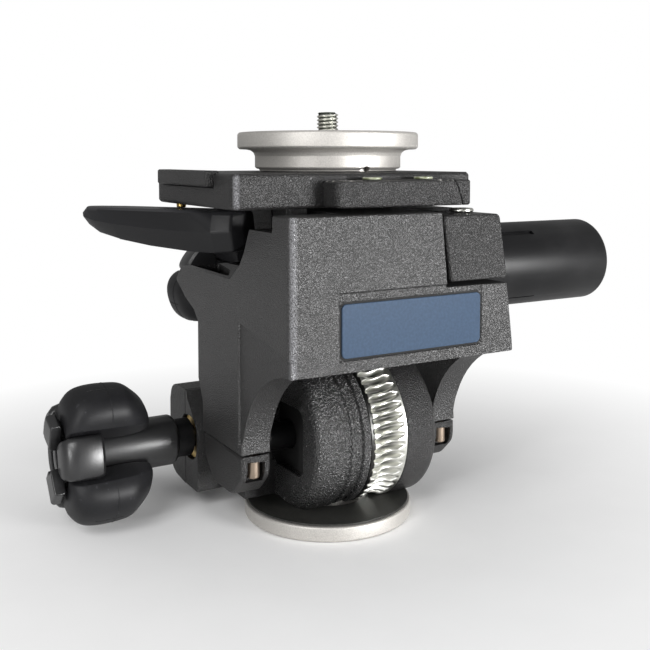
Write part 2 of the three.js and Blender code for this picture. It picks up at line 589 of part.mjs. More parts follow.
function makeHousing() {
  const [earLeft, earInner] = LEFT_EAR;
  const [rightInner, earRight] = RIGHT_EAR;
  let housing = housingBody()
    .add(prism(armOutline(), "x", earLeft, earInner))
    .add(prism(armOutline(), "x", rightInner, RIGHT_AT_BOTTOM - 1)
      .add(prism(armOutline(), "x", RIGHT_AT_BOTTOM - 2, earRight)
        .intersect(box([40, -70, 0], [70, 40, HOUSING_BOTTOM - 2]))));
  // The upper left corner is cut down in steps for the lever
  housing = housing.subtract(prism(outline([[-44.5, 150], [-44.5, 131, 1], [-23.6, 131], [-19, 122], [-15, 116],
    [-5, LEDGE_Z, 3], [80, LEDGE_Z], [80, 150]]), "x", HOUSING_LEFT - 1, -20));
  // Behind the left arm the wall flares back to carry the ledge, with an open pocket in it
  const flareSide = outline([[20, 70], [31, 86], [36, 90.5], [47, 95], [58, 102, 1.5], [50, LEDGE_Z, 1],
    [20, LEDGE_Z]]);
  const flarePlan = outline([[HOUSING_LEFT, 20], [-26.5, 20], [-27.5, 59, 2], [HOUSING_LEFT, 59, 1]]);
  housing = housing.add(prism(flareSide, "x", HOUSING_LEFT, -26).intersect(prism(flarePlan, "z", 60, 120)));
  const pocket = outline([[-46.4, 4, 1], [-37, 24, 2], [-31, 50, 1], [-45.4, 50, 1]]);
  housing = housing.subtract(prism(pocket, "z", 97, 120));
  // Open rear of the gear pair
  housing = housing.subtract(rod("y", 22.9, GEARS_FRONT - 0.6, HOUSING_REAR + 5, tiltKnobCentre, MIDDLE_ROUND)
    .add(rod("y", 13, GEARS_FRONT - 0.6, HOUSING_REAR + 5, tiltWormCentre, MIDDLE_ROUND)));
  housing = housing
    .subtract(rod("y", 5.3, -22, GEARS_FRONT + 1, tiltKnobCentre));
  // The worm runs under the middle of the body between two hanging bosses
  const hanger = (from, to) => box([RING_MID - 9, from, WORM_AXIS_Z - 6.5], [RING_MID + 9, to, HOUSING_BOTTOM + 1]);
  housing = housing.add(hanger(-21, -11.5)).add(hanger(15.5, GEARS_FRONT - 0.8))
    .subtract(rod("y", WORM_PITCH_R + 1.8, -11, 15.3, tiltWormCentre, MIDDLE_ROUND))
    .subtract(rod("y", 4.6, -19, GEARS_FRONT + 8, tiltWormCentre));
  // Open underside behind the front wall
  housing = housing.subtract(box([-44, -55, HOUSING_BOTTOM - 1], [44, -24, 104]));
  // Ears
  housing = housing.subtract(trunnionBore());
  // Nameplate recess and its side lines
  housing = housing.subtract(box([-29.4, HOUSING_FRONT - 1, 82.6], [38.9, HOUSING_FRONT + 0.8, 108.4]));
  // Corner notch for the cover block
  const notch = outline([[17, 150], [21.3, 107.3], [70, 107.3], [70, 150]]);
  housing = housing.subtract(prism(notch, "y", HOUSING_FRONT - 1, -31));
  // Seat of the spring tube, and the spacer under the platform
  housing = housing.add(rod("x", 15.6, 30, TUBE_LEFT - GAP, [TUBE_Y, TUBE_Z], MIDDLE_ROUND)
    .subtract(box([29, -70, 90], [60, -31, 130])));
  housing = housing.add(rod("z", 19, HOUSING_TOP - 2, PLATFORM_BOTTOM - GAP, [12, 2], MIDDLE_ROUND));
  // The shallow step down the side of the arm
  housing = housing.subtract(prism(outline([[-58, 84], [-13, 92], [-13, 40], [-30, 58], [-44, 72]]), "x",
    earLeft - 1, earLeft + 0.7));
  addNode("tilt_housing", housing, "casting");
}

function makeEars() {
  const capOutline = outline([[EAR_FRONT, TILT_Z - GAP], [EAR_FRONT, 27, 8], [EAR_FRONT + 10, 17.2, 9],
    [EAR_REAR - 12, 17.2, 9], [EAR_REAR - 2, 27, 8], [EAR_REAR - 1, TILT_Z - GAP]]);
  [["left", ...LEFT_EAR], ["right", ...RIGHT_EAR]].forEach(([side, from, to]) => {
    const middle = (from + to) / 2;
    const cap = prism(capOutline, "x", from, to, 0.8)
      .subtract(trunnionBore())
      .subtract(box([middle - 4, EAR_FRONT - 1, 24.5], [middle + 4, EAR_FRONT + 6.3, 33.5]))
      .subtract(rod("z", 3.2, 33, 40, [middle, EAR_FRONT + 3.3]));
    addNode(`ear_cap_${side}`, cap, "casting");
    const screw = rod("z", 2.9, 26.2, TILT_Z - 0.8, [middle, EAR_FRONT + 3.3], SMALL_ROUND, 0.4);
    addNode(`ear_screw_${side}_front`, screw, "brass");
  });
}

function makeHousingFittings() {
  const plate = prism(rectangle(-28.5, 83.5, 38, 104.2, 2), "y", HOUSING_FRONT - 0.1, HOUSING_FRONT + 0.5);
  addNode("nameplate", plate, "plate");
  const block = outline([[18.9, 136.3, 2], [23.1, 109.2, 2], [52.6, 109.2, 2], [RIGHT_AT_TOP + 0.2, 136.3, 2.5]]);
  addNode("corner_cover", prism(block, "y", HOUSING_FRONT - 0.1, -32.6, 0.6), "casting");
  const top = rod("z", 5.2, 136.6, 138.3, [38, -47], MIDDLE_ROUND, 0.5).subtract(rod("z", 2, 137.4, 139, [38, -47], 6));
  addNode("corner_cover_screw", top, "zinc");

  const sleeve = turned([[0, TUBE_LEFT], [TUBE_R, TUBE_LEFT], [TUBE_R, TUBE_RIGHT - 1.2], [TUBE_R - 1.2, TUBE_RIGHT],
    [0, TUBE_RIGHT]], "x", [TUBE_Y, TUBE_Z], ROUND);
  addNode("spring_tube", sleeve.subtract(slotAt(52)).subtract(slotAt(-47)), "plastic");
}

// An axial slot in the spring tube's wall, at an angle above the side that faces the front
function slotAt(degrees) {
  const slot = new THREE.BoxGeometry(27, 1.2, 2.6);
  slot.translate(TUBE_LEFT + 12.5, -TUBE_R, 0);
  slot.rotateX(THREE.MathUtils.degToRad(-degrees));
  slot.translate(0, TUBE_Y, TUBE_Z);
  return solid(slot);
}

// Tilt drive
function makeTiltDrive() {
  const pitch = (2 * Math.PI * RING_PITCH_R) / RING_TEETH;
  const offset = Math.hypot(KNOB_X - RING_MID, KNOB_Z - WORM_AXIS_Z);
  const wormGearR = (offset * WORM_GEAR_TEETH) / (WORM_GEAR_TEETH + KNOB_GEAR_TEETH);
  const knobGearR = offset - wormGearR;
  const towards = Math.atan2(KNOB_Z - WORM_AXIS_Z, KNOB_X - RING_MID);
  const rows = (radius) => [[GEARS_FRONT, radius + 1.15, radius - 1.8], [GEARS_REAR, radius + 1.15, radius - 1.8]];
  const worm = wormSolid({
    axis: "y", centre: tiltWormCentre, coreR: WORM_PITCH_R - 1.5, tipR: WORM_PITCH_R + 0.9, pitch, turns: 4,
    from: -10.5, to: 14.8, middle: TILT_Y, foot: 1.25, crest: 0.5, phase: Math.PI / 2,
  });
  const gear = toothedSolid(WORM_GEAR_TEETH, rows(wormGearR), "y", tiltWormCentre,
    { phase: -towards + Math.PI / WORM_GEAR_TEETH, ...spurTeeth });
  addNode("tilt_worm", worm.add(rod("y", 4.2, -17, 29.5, tiltWormCentre)).add(gear), "steel");

  const outer = makeKnob("tilt", "y", 49, tiltKnobCentre, TILT_KNOB_TURN, -30);
  const knobGear = toothedSolid(KNOB_GEAR_TEETH, rows(knobGearR), "y", tiltKnobCentre,
    { phase: -towards + Math.PI, ...spurTeeth });
  addNode("tilt_knob_shaft", outer.add(rod("y", 4.9, -20, 25, tiltKnobCentre)).add(knobGear), "steel");

  const cover = rod("y", 22.4, 27, HOUSING_REAR + 1.5, tiltKnobCentre, MIDDLE_ROUND)
    .add(rod("y", 12.6, 27, HOUSING_REAR + 1.5, tiltWormCentre, MIDDLE_ROUND))
    .add(turned([[0, 30], [16, 30], [14, 44], [13, 45.6], [0, 45.6]], "y", tiltKnobCentre, MIDDLE_ROUND));
  const bores = rod("y", 5.3, 26, 50, tiltKnobCentre).add(rod("y", 4.6, 26, 30, tiltWormCentre));
  addNode("tilt_gear_cover", cover.subtract(bores), "casting");
}

// Platform
function makePlatform() {
  const plan = outline([[PLATFORM_LEFT, PLATFORM_FRONT, 5], [PLATFORM_RIGHT, PLATFORM_FRONT, 3],
    [PLATFORM_RIGHT, PLATFORM_REAR, 8], [PLATFORM_LEFT, PLATFORM_REAR, 8]]);
  const platform = prism(plan, "z", PLATFORM_BOTTOM, PLATFORM_TOP, 1.1)
    .subtract(box([PLATFORM_LEFT - 1, -21.4, 147.8], [PLATFORM_LEFT + 3.4, 35.4, PLATFORM_TOP + 1]))
    .subtract(rod("z", 4.3, PLATFORM_BOTTOM - 1, PLATFORM_TOP - 3, LEVER_PIVOT))
    .subtract(rod("z", 2.5, PLATFORM_BOTTOM - 1, PLATFORM_BOTTOM + 7, CATCH_AT));
  addNode("platform", platform, "casting");
  addNode("side_rail", prism(rectangle(PLATFORM_LEFT - 3, -21, PLATFORM_LEFT + 3, 35, 1.5), "z", 148.1,
    PLATFORM_TOP + 1, 0.6), "casting");

  const [jawLeft, jawRight, jawFront] = [-26, 38.5, -53];
  const jaw = prism(outline([[jawLeft, jawFront, 4], [jawRight, jawFront, 1.5], [jawRight, PLATFORM_FRONT - GAP],
    [jawLeft, PLATFORM_FRONT - GAP]]), "z", 139.9, 150.5, 0.7);
  const split = (shift) => prism(outline([[29.6 + shift, 151], [31.8 + shift, 147], [33.6 + shift, 142.5],
    [34.2 + shift, 139], [60, 139], [60, 151]]), "y", -60, PLATFORM_FRONT);
  addNode("front_jaw", jaw.subtract(split(0)), "casting");
  addNode("jaw_end", jaw.intersect(split(0.35)), "casting");
  [-7, 18].forEach((x, i) => {
    addNode(`level_vial_${i + 1}`, rod("z", 4, 150.8, 151.8, [x, -47.2], SMALL_ROUND, 0.3), "glass");
  });

  const hub = turned([[0, PLATFORM_TOP + GAP], [30.2, PLATFORM_TOP + GAP], [32.3, 155.2], [32.3, 160.4],
    [33.4, 162.2], [36.5, 163.2], [PLATE_R - 1, 163.2], [PLATE_R, 164.2], [PLATE_R, PLATE_TOP - 1],
    [PLATE_R - 1, PLATE_TOP], [0, PLATE_TOP]], "z");
  const notch = rod("y", 2.3, -34, -29, [0, PLATFORM_TOP + 0.3]);
  addNode("camera_plate", hub.subtract(rod("z", SOCKET_R + GAP, 160, 172)).subtract(notch), "aluminium");
  const stud = turned([[0, 161], [SOCKET_R, 161], [SOCKET_R, STUD_TOP - 0.9], [SOCKET_R - 0.9, STUD_TOP],
    [0, STUD_TOP]], "z", [0, 0], MIDDLE_ROUND);
  addNode("camera_stud", stud.subtract(box([-6, -0.6, STUD_TOP - 1.4], [6, 0.6, STUD_TOP + 1])), "zinc");
}

// Lever: a boat shaped paddle from the pivot to a rounded tip
function makeLever() {
  const [px, py] = LEVER_PIVOT;
  const direction = Math.atan2(57, -37);
  // [distance from the pivot, half width at the top, at the knuckle line, at the bottom, bottom height]
  const stations = [
    [-11.5, 3, 4.5, 3, 123],
    [-8, 8, 9.5, 7, 120.2],
    [0, 10.5, 12, 8.5, 119.5],
    [14, 10.5, 12.2, 8.5, 119.8],
    [34, 10, 12, 8, 121.2],
    [52, 9.4, 11.5, 7.4, 123.4],
    [64, 8.4, 10.4, 6, 125.6],
    [72, 6, 8, 3.6, 128.6],
    [75.5, 2.6, 4.4, 1.4, 132],
  ];
  const rings = stations.map(([along, top, knuckle, bottom, low]) => {
    const line = low + (LEVER_TOP - low) * 0.5;
    const section = [[-top + 1.5, LEVER_TOP], [-top, LEVER_TOP - 1], [-knuckle, line], [-bottom, low],
      [bottom, low], [knuckle, line], [top, LEVER_TOP - 1], [top - 1.5, LEVER_TOP]];
    return section.map(([v, height]) => [
      px + along * Math.cos(direction) - v * Math.sin(direction),
      py + along * Math.sin(direction) + v * Math.cos(direction),
      height,
    ]);
  });
  const paddle = solid(loft(rings)).add(rod("z", 4, 130, PLATFORM_TOP - 3.6, LEVER_PIVOT));
  addNode("release_lever", paddle.subtract(rod("z", 2.3, 118, 124.5, LEVER_PIVOT)), "plastic");
  addNode("lever_screw", rod("z", 2, 119.9, 124.2, LEVER_PIVOT, SMALL_ROUND, 0.3), "steel");
  addNode("safety_catch", rod("z", 2.1, LEVER_TOP + 0.25, PLATFORM_BOTTOM + 3.5, CATCH_AT, SMALL_ROUND, 0.3), "brass");
}

makeBase();
makeDrum();
makeRingGear();
makePanDrive();
makeHousing();
makeEars();
makeHousingFittings();
makeTiltDrive();
makePlatform();
makeLever();

export default root;
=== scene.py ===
"""Dresses a packed geared tripod head: fine surfaces, finishes, a stage, lamps and a camera."""

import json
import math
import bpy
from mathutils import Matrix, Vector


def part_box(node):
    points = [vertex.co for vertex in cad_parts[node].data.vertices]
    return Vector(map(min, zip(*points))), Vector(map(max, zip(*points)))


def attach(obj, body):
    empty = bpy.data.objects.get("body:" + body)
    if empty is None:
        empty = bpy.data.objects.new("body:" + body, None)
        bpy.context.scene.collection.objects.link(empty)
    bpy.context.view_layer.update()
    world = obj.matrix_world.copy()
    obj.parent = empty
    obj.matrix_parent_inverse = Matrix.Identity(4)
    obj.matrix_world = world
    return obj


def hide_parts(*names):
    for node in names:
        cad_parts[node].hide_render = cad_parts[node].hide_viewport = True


bl_info = {
    "name": "Geared tripod head",
    "version": (1, 0, 0),
    "blender": (4, 5, 0),
    "location": "View3D > Sidebar > Tripod head",
    "description": "Gives a packed geared tripod head its fine surfaces and finishes",
    "category": "Object",
}

import bmesh
import bpy
from mathutils import Matrix, Vector

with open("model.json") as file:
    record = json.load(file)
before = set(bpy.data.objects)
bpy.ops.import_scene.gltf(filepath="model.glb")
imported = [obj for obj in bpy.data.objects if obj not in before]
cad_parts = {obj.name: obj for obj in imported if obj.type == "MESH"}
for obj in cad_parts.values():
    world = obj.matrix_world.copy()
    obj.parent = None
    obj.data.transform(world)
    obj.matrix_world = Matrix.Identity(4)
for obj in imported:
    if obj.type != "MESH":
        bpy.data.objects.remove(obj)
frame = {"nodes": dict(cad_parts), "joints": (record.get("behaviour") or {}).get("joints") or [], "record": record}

MM = 0.001
WHITE = (1, 1, 1, 1)
NODES = frame["nodes"]
BODIES = frame["record"]["behaviour"]["bodies"]
BODY_OF = {node: body for body, members in BODIES.items() for node in members}
SLOT_OF = {part["node"]: part["material_slot"] for part in frame["record"]["subparts"]}

# Places that the frame gives
AXES = {joint["name"]: Vector(joint["pos_m"]) for joint in frame["joints"] if "pos_m" in joint}
TILT_AXIS = AXES["tilt_turn"]
WORM_DISTANCE = AXES["tilt_worm_turn"].z - TILT_AXIS.z
RING_LOW, RING_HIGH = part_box("tilt_ring_gear")
PLATE_LOW, PLATE_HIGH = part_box("camera_plate")
BASE_LOW, BASE_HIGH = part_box("base_disc")
WASHER_LOW, WASHER_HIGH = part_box("friction_washer")
SHELL_LOW, SHELL_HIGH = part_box("drum_end_shell")
DRUM_RADIUS = SHELL_HIGH.z - TILT_AXIS.z
DRUM_FLOOR = SHELL_LOW.z
TUBE_LOW, TUBE_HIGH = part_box("spring_tube")
STUD_LOW, STUD_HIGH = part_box("camera_stud")
STUD_RADIUS = (STUD_HIGH.x - STUD_LOW.x) / 2
LABEL_LOW, LABEL_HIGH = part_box("nameplate")
JAW_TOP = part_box("front_jaw")[1].z
PLATFORM_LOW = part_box("platform")[0]
HOUSING_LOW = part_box("tilt_housing")[0]


class HeadSizes(bpy.types.PropertyGroup):
    """Sizes of the fine surfaces."""

    turn_sides: bpy.props.IntProperty(
        name="Sides of a turned face", description="Straight sides round each turned piece",
        default=144, min=24)
    edge_round: bpy.props.FloatProperty(
        name="Edge rounding", description="Width of the rounding along a casting's edges",
        default=0.45 * MM, min=0.0, unit="LENGTH")
    thread_pitch: bpy.props.FloatProperty(
        name="Thread pitch", description="Distance between two threads of the 3/8 inch stud",
        default=1.5875 * MM, unit="LENGTH")
    thread_depth: bpy.props.FloatProperty(
        name="Thread depth", description="Depth of the stud's thread", default=0.85 * MM, unit="LENGTH")
    ring_teeth: bpy.props.IntProperty(
        name="Ring gear teeth", description="Teeth round the tilt gear", default=48, min=8)


class HeadColours(bpy.types.PropertyGroup):
    """Colours of the finishes."""

    paint: bpy.props.FloatVectorProperty(
        name="Paint", description="Stippled black paint of the castings", subtype="COLOR", size=4,
        default=(0.0105, 0.0102, 0.0102, 1))
    grey_metal: bpy.props.FloatVectorProperty(
        name="Grey metal", description="Matt aluminium of the plate and the base", subtype="COLOR", size=4,
        default=(0.56, 0.54, 0.51, 1))
    zinc: bpy.props.FloatVectorProperty(
        name="Zinc", description="Bright plating of the gear and the stud", subtype="COLOR", size=4,
        default=(0.86, 0.86, 0.8, 1))
    steel: bpy.props.FloatVectorProperty(
        name="Steel", description="Shafts and screws", subtype="COLOR", size=4,
        default=(0.36, 0.36, 0.35, 1))
    brass: bpy.props.FloatVectorProperty(
        name="Brass", description="Pins, bush and clamp screws", subtype="COLOR", size=4,
        default=(0.62, 0.43, 0.14, 1))
    rubber: bpy.props.FloatVectorProperty(
        name="Rubber", description="Knob lobes", subtype="COLOR", size=4,
        default=(0.0085, 0.0085, 0.0095, 1))
    plastic: bpy.props.FloatVectorProperty(
        name="Plastic", description="Knob cores and sleeves", subtype="COLOR", size=4,
        default=(0.0085, 0.0085, 0.009, 1))
    plate: bpy.props.FloatVectorProperty(
        name="Nameplate", description="Blue-grey plate on the front", subtype="COLOR", size=4,
        default=(0.034, 0.056, 0.093, 1))


class StageSettings(bpy.types.PropertyGroup):
    """Floor, lamps and camera."""

    floor: bpy.props.FloatVectorProperty(
        name="Floor", description="Colour of the pale floor", subtype="COLOR", size=4,
        default=(0.94, 0.94, 0.94, 1))
    sky: bpy.props.FloatProperty(
        name="Soft light", description="Strength of the even light from all round", default=0.33, min=0.0)
    top: bpy.props.FloatProperty(
        name="Top lamp", description="Power of the large lamp above the left", default=6.0, unit="POWER")
    front: bpy.props.FloatProperty(
        name="Front lamp", description="Power of the lamp low at the front right",
        default=17.0, unit="POWER")
    edge: bpy.props.FloatProperty(
        name="Edge lamp", description="Power of the small lamp at the left, for the corner's bright line",
        default=2.4, unit="POWER")
    lens: bpy.props.FloatProperty(
        name="Lens", description="Focal length on a 36 mm wide sensor", default=49.73, unit="CAMERA")
    camera_height: bpy.props.FloatProperty(
        name="Camera height", description="Height of the camera above the floor",
        default=159.1 * MM, unit="LENGTH")
    camera_turn: bpy.props.FloatProperty(
        name="Camera direction", description="From +Y towards +X",
        default=math.radians(30.01), subtype="ANGLE")
    camera_shift: bpy.props.FloatProperty(
        name="Camera shift", description="Share of the picture's height", default=-0.1715)
    camera_pitch: bpy.props.FloatProperty(
        name="Camera pitch", description="How far the camera looks down", default=math.radians(3.5),
        subtype="ANGLE")


# Shader maths

class Value:
    """A socket of a material; arithmetic on it adds Math nodes."""

    def __init__(self, shader, socket):
        self.shader = shader
        self.socket = socket

    def _math(self, operation, *terms):
        return self.shader.add("ShaderNodeMath", {"operation": operation}, dict(enumerate(terms)))

    def __add__(self, other):
        return self._math("ADD", self, other)

    def __sub__(self, other):
        return self._math("SUBTRACT", self, other)

    def __rsub__(self, other):
        return self._math("SUBTRACT", other, self)

    def __mul__(self, other):
        return self._math("MULTIPLY", self, other)

    def __gt__(self, other):
        return self._math("GREATER_THAN", self, other)

    def between(self, low, high):
        """0 at low, 1 at high, straight between them and held outside."""
        return self.shader.add("ShaderNodeMapRange", {"clamp": True}, {
            "Value": self, "From Min": low, "From Max": high, "To Min": 0.0, "To Max": 1.0})

    __radd__ = __add__
    __rmul__ = __mul__


class Nodes:
    """A node tree under construction."""

    def __init__(self, tree):
        self.tree = tree

    def add(self, kind, settings, sockets, output=0):
        """One node: its type, its settings, and the values or links of its sockets."""
        node = self.tree.nodes.new(kind)
        for key, setting in settings.items():
            setattr(node, key, setting)
        for key, value in sockets.items():
            self.join(node.inputs[key], value)
        return Value(self, node.outputs[output])

    def join(self, socket, value):
        """Links a value to a socket, or writes a plain number or colour on it."""
        if isinstance(value, Value):
            self.tree.links.new(value.socket, socket)
        else:
            socket.default_value = value


class Shader(Nodes):
    """A material under construction, with its Principled BSDF as surface."""

    def __init__(self, name):
        self.material = bpy.data.materials.new(name)
        self.material.use_nodes = True
        super().__init__(self.material.node_tree)
        self.surface = self.tree.nodes["Principled BSDF"]
        self.place = self.add("ShaderNodeTexCoord", {}, {}, "Object")

    def set(self, **sockets):
        """Sets or links sockets of the surface, written with _ for a space."""
        for key, value in sockets.items():
            self.join(self.surface.inputs[key.replace("_", " ")], value)

    def noise(self, scale, detail=2.0, roughness=0.5, stretch=None):
        place = self.place if stretch is None else self.add(
            "ShaderNodeMapping", {}, {"Vector": self.place, "Scale": stretch})
        return self.add("ShaderNodeTexNoise", {}, {
            "Vector": place, "Scale": scale, "Detail": detail, "Roughness": roughness})

    def vector(self, operation, *terms, output=0):
        """Vector maths on places, directions and plain vectors."""
        return self.add("ShaderNodeVectorMath", {"operation": operation}, dict(enumerate(terms)), output)

    def distance_from_line(self, centre, across):
        """How far a point lies from a line through centre; across is 0 along the line and 1 across it."""
        level = self.vector("MULTIPLY", self.vector("SUBTRACT", self.place, centre), across)
        return self.vector("LENGTH", level, output="Value")

    def part(self, axis, vector=None):
        """A point's place along an axis (0, 1 or 2), or that part of another vector."""
        return self.add("ShaderNodeSeparateXYZ", {}, {0: vector or self.place}, axis)

    def cells(self, scale):
        return self.add("ShaderNodeTexVoronoi", {"feature": "SMOOTH_F1"}, {
            "Vector": self.place, "Scale": scale, "Smoothness": 0.6})

    def mix(self, factor, first, second):
        """The first colour where the factor is 0, the second where it is 1."""
        return self.add("ShaderNodeMix", {"data_type": "RGBA"}, {0: factor, 6: first, 7: second}, 2)

    def bump(self, height, depth, strength=1.0):
        return self.add("ShaderNodeBump", {}, {"Height": height, "Distance": depth, "Strength": strength})


def shade(colour, factor):
    """The colour, lighter or darker."""
    return (*[min(1.0, channel * factor) for channel in colour[:3]], 1.0)


# Finishes

CORNER_HIGHLIGHT = (0.19, 0.19, 0.2, 1)
CHIP_METAL = (0.75, 0.73, 0.68, 1)
GEAR_ROOT_SHADE = (0.05, 0.05, 0.048, 1)
THREAD_ROOT_SHADE = (0.07, 0.08, 0.066, 1)
BLACKENED = (0.03, 0.03, 0.031, 1)
BROWNED = (0.34, 0.27, 0.21, 1)
LEVER_SHADED_SIDES = (0.008, 0.008, 0.009, 1)
LEVER_TOP_HIGHLIGHT = (0.035, 0.035, 0.038, 1)
TUBE_CLEAN = (0.007, 0.007, 0.0075, 1)
TUBE_SMEARED = (0.013, 0.013, 0.0135, 1)
WASHER_CLEAN = (0.012, 0.012, 0.011, 1)
WASHER_DUSTY = (0.035, 0.035, 0.03, 1)
VIAL_FLUID = (0.13, 0.15, 0.07, 1)
VIAL_BUBBLE = (0.34, 0.36, 0.26, 1)
PAINTED_SHADE_BLACK = (0.003, 0.003, 0.003, 1)
PAINTED_SHADE_DUSTY = (0.009, 0.009, 0.009, 1)
ACROSS_X = (0, 1, 1)
ACROSS_Z = (1, 1, 0)
ROOT_SHADE_REACH = 29.9 * MM  # from the tilt axis, out to which the teeth's roots are darkened with painted shade
UNSHADED_REACH = 31.7 * MM  # and from which they have no painted shade


def paint(name="stippled_paint", chips=False, corner=None, depth=0.4 * MM, shine=0.5):
    """Satin black paint with a fine stipple, whose depth and shine differ by casting. Chips show bare metal
    along the jaw's top edge, and an upright corner of a casting, given by its place, carries a painted highlight."""
    colours = bpy.context.scene.head_colours
    shader = Shader(name)
    stipple = shader.noise(2300, 1.0, 0.5)
    pebbles = shader.cells(1900)
    clouds = shader.noise(38, 3.0)
    dust = shader.noise(1500, 1.0).between(0.6, 0.68)
    colour = shader.mix(clouds.between(0.35, 0.7), colours.paint[:], shade(colours.paint, 1.5))
    colour = shader.mix(stipple.between(0.5, 0.62) * 0.6, colour, shade(colours.paint, 2.4))
    colour = shader.mix(dust * 0.35, colour, shade(colours.paint, 7))
    roughness = 0.28 + stipple * 0.18
    if corner is not None:
        # painted highlight: a bright band down the upright corner, standing in for a lamp's reflection there
        brightened = 1 - shader.distance_from_line(corner, ACROSS_Z).between(0.7 * MM, 1.9 * MM)
        colour = shader.mix(brightened * stipple.between(0.3, 0.56), colour, CORNER_HIGHLIGHT)
        roughness = roughness - brightened * 0.06
    if chips:
        edge = shader.part(2).between(JAW_TOP - 0.7 * MM, JAW_TOP - 0.1 * MM)
        chip = edge * (shader.noise(700, 2.0) > 0.6) * (shader.noise(60, 1.0) > 0.52)
        colour = shader.mix(chip, colour, CHIP_METAL)
        roughness = roughness - chip * 0.12
    shader.set(Base_Color=colour, Roughness=roughness,
               Normal=shader.bump(stipple + pebbles * 0.8, depth), Specular_IOR_Level=shine)
    return shader.material


def chipped_paint():
    return paint("chipped_paint", chips=True)


def barrel_paint():
    """The drum's paint: coarser in its stipple, and polished on the high spots."""
    shader = Shader("worn_paint")
    stipple = shader.noise(2000, 1.0, 0.5)
    pebbles = shader.cells(1200)
    brightened = stipple.between(0.42, 0.68)
    base = bpy.context.scene.head_colours.paint
    colour = shader.mix(brightened, shade(base, 0.7), shade(base, 2.6))
    shader.set(Base_Color=colour, Roughness=0.3 - brightened * 0.08,
               Normal=shader.bump(stipple + pebbles * 0.8, 0.6 * MM), Specular_IOR_Level=1.0)
    return shader.material


def grey_metal():
    """Matt blasted aluminium with a fine bright grain."""
    metal = bpy.context.scene.head_colours.grey_metal
    shader = Shader("blasted_aluminium")
    grain = shader.noise(2100, 2.0, 0.7)
    clouds = shader.noise(60, 3.0)
    colour = shader.mix(grain.between(0.3, 0.75), shade(metal, 0.82), shade(metal, 1.15))
    colour = shader.mix(clouds.between(0.4, 0.75) * 0.25, colour, shade(metal, 0.85))
    shader.set(Base_Color=colour, Metallic=0.7, Roughness=0.44 + grain * 0.14,
               Normal=shader.bump(grain, 0.12 * MM, 0.6))
    return shader.material


def bright_metal(name, colour, roughness, scratch_scale, stretch=(1, 1, 1)):
    """Plated or machined metal with fine tool marks and a little stain."""
    shader = Shader(name)
    marks = shader.noise(scratch_scale, 3.0, 0.6, stretch)
    stain = shader.noise(170, 3.0)
    tint = shader.mix(stain.between(0.45, 0.72) * 0.6, colour, shade(colour, 0.62))
    shader.set(Base_Color=tint, Metallic=1.0, Roughness=roughness + marks * 0.16,
               Normal=shader.bump(marks, 0.03 * MM, 0.5))
    return shader.material


def gear_zinc():
    """Bright plated teeth, with painted shade darkening the roots between them and the ring's left face beside the
    barrel.
    """
    colour = bpy.context.scene.head_colours.zinc[:]
    shader = Shader("gear_zinc")
    marks = shader.noise(900, 3.0, 0.6, (1, 0.3, 0.3))
    stain = shader.noise(210, 3.0)
    unshaded = shader.distance_from_line(TILT_AXIS, ACROSS_X).between(ROOT_SHADE_REACH, UNSHADED_REACH)
    off_left_face = shader.part(0).between(RING_LOW.x + 1.7 * MM, RING_LOW.x + 2.1 * MM)
    tint = shader.mix(stain.between(0.4, 0.75) * 0.5, colour, shade(colour, 0.66))
    # painted shade: the roots between the teeth are dark
    tint = shader.mix(unshaded, shade(colour, 0.12), tint)
    # painted shade on the ring's left face, next to the barrel
    tint = shader.mix(off_left_face, GEAR_ROOT_SHADE, tint)
    shader.set(Base_Color=tint, Metallic=1.0, Roughness=0.46 + marks * 0.14 - unshaded * 0.2,
               Normal=shader.bump(marks, 0.03 * MM, 0.5))
    return shader.material


def stud_zinc():
    """Green-grey plating, with painted shade between the threads."""
    shader = Shader("stud_zinc")
    reach = shader.distance_from_line((0, 0, 0), ACROSS_Z)
    crest = reach.between(STUD_RADIUS - 0.8 * MM, STUD_RADIUS - 0.35 * MM)
    marks = shader.noise(1200, 2.0)
    # painted shade: the thread's roots are darker than its crests
    colour = shader.mix(crest, THREAD_ROOT_SHADE, shade(bpy.context.scene.head_colours.zinc, 0.95))
    shader.set(Base_Color=colour, Metallic=1.0, Roughness=0.34 + marks * 0.14,
               Normal=shader.bump(marks, 0.02 * MM, 0.4))
    return shader.material


def zinc():
    return bright_metal("zinc_plate", bpy.context.scene.head_colours.zinc[:], 0.2, 700, (0.2, 1, 1))


def steel():
    return bright_metal("machined_steel", bpy.context.scene.head_colours.steel[:], 0.26, 1400)


def dark_steel():
    return bright_metal("blackened_steel", BLACKENED, 0.34, 1200)


def brass():
    return bright_metal("brass", bpy.context.scene.head_colours.brass[:], 0.22, 1100)


def bronze():
    return bright_metal("browned_screw", BROWNED, 0.28, 1300)


def rubber():
    """Soft moulded rubber, slightly mottled and dusty."""
    colours = bpy.context.scene.head_colours
    shader = Shader("moulded_rubber")
    grain = shader.noise(1700, 2.0, 0.6)
    smears = shader.noise(85, 3.0, 0.55)
    lint = shader.noise(520, 1.0).between(0.7, 0.76)
    colour = shader.mix(smears.between(0.38, 0.7), colours.rubber[:], shade(colours.rubber, 1.5))
    colour = shader.mix(lint * 0.35, colour, shade(colours.rubber, 6))
    shader.set(Base_Color=colour, Roughness=0.4 + smears * 0.16, Normal=shader.bump(grain, 0.06 * MM, 0.5),
               Specular_IOR_Level=0.26)
    return shader.material


def plastic():
    """Fine grained black plastic."""
    colours = bpy.context.scene.head_colours
    shader = Shader("grained_plastic")
    grain = shader.noise(1500, 2.0, 0.65)
    smears = shader.noise(70, 3.0)
    colour = shader.mix(smears.between(0.4, 0.7), colours.plastic[:], shade(colours.plastic, 1.6))
    shader.set(Base_Color=colour, Roughness=0.28 + grain * 0.12, Normal=shader.bump(grain, 0.08 * MM, 0.45),
               Specular_IOR_Level=0.75)
    return shader.material


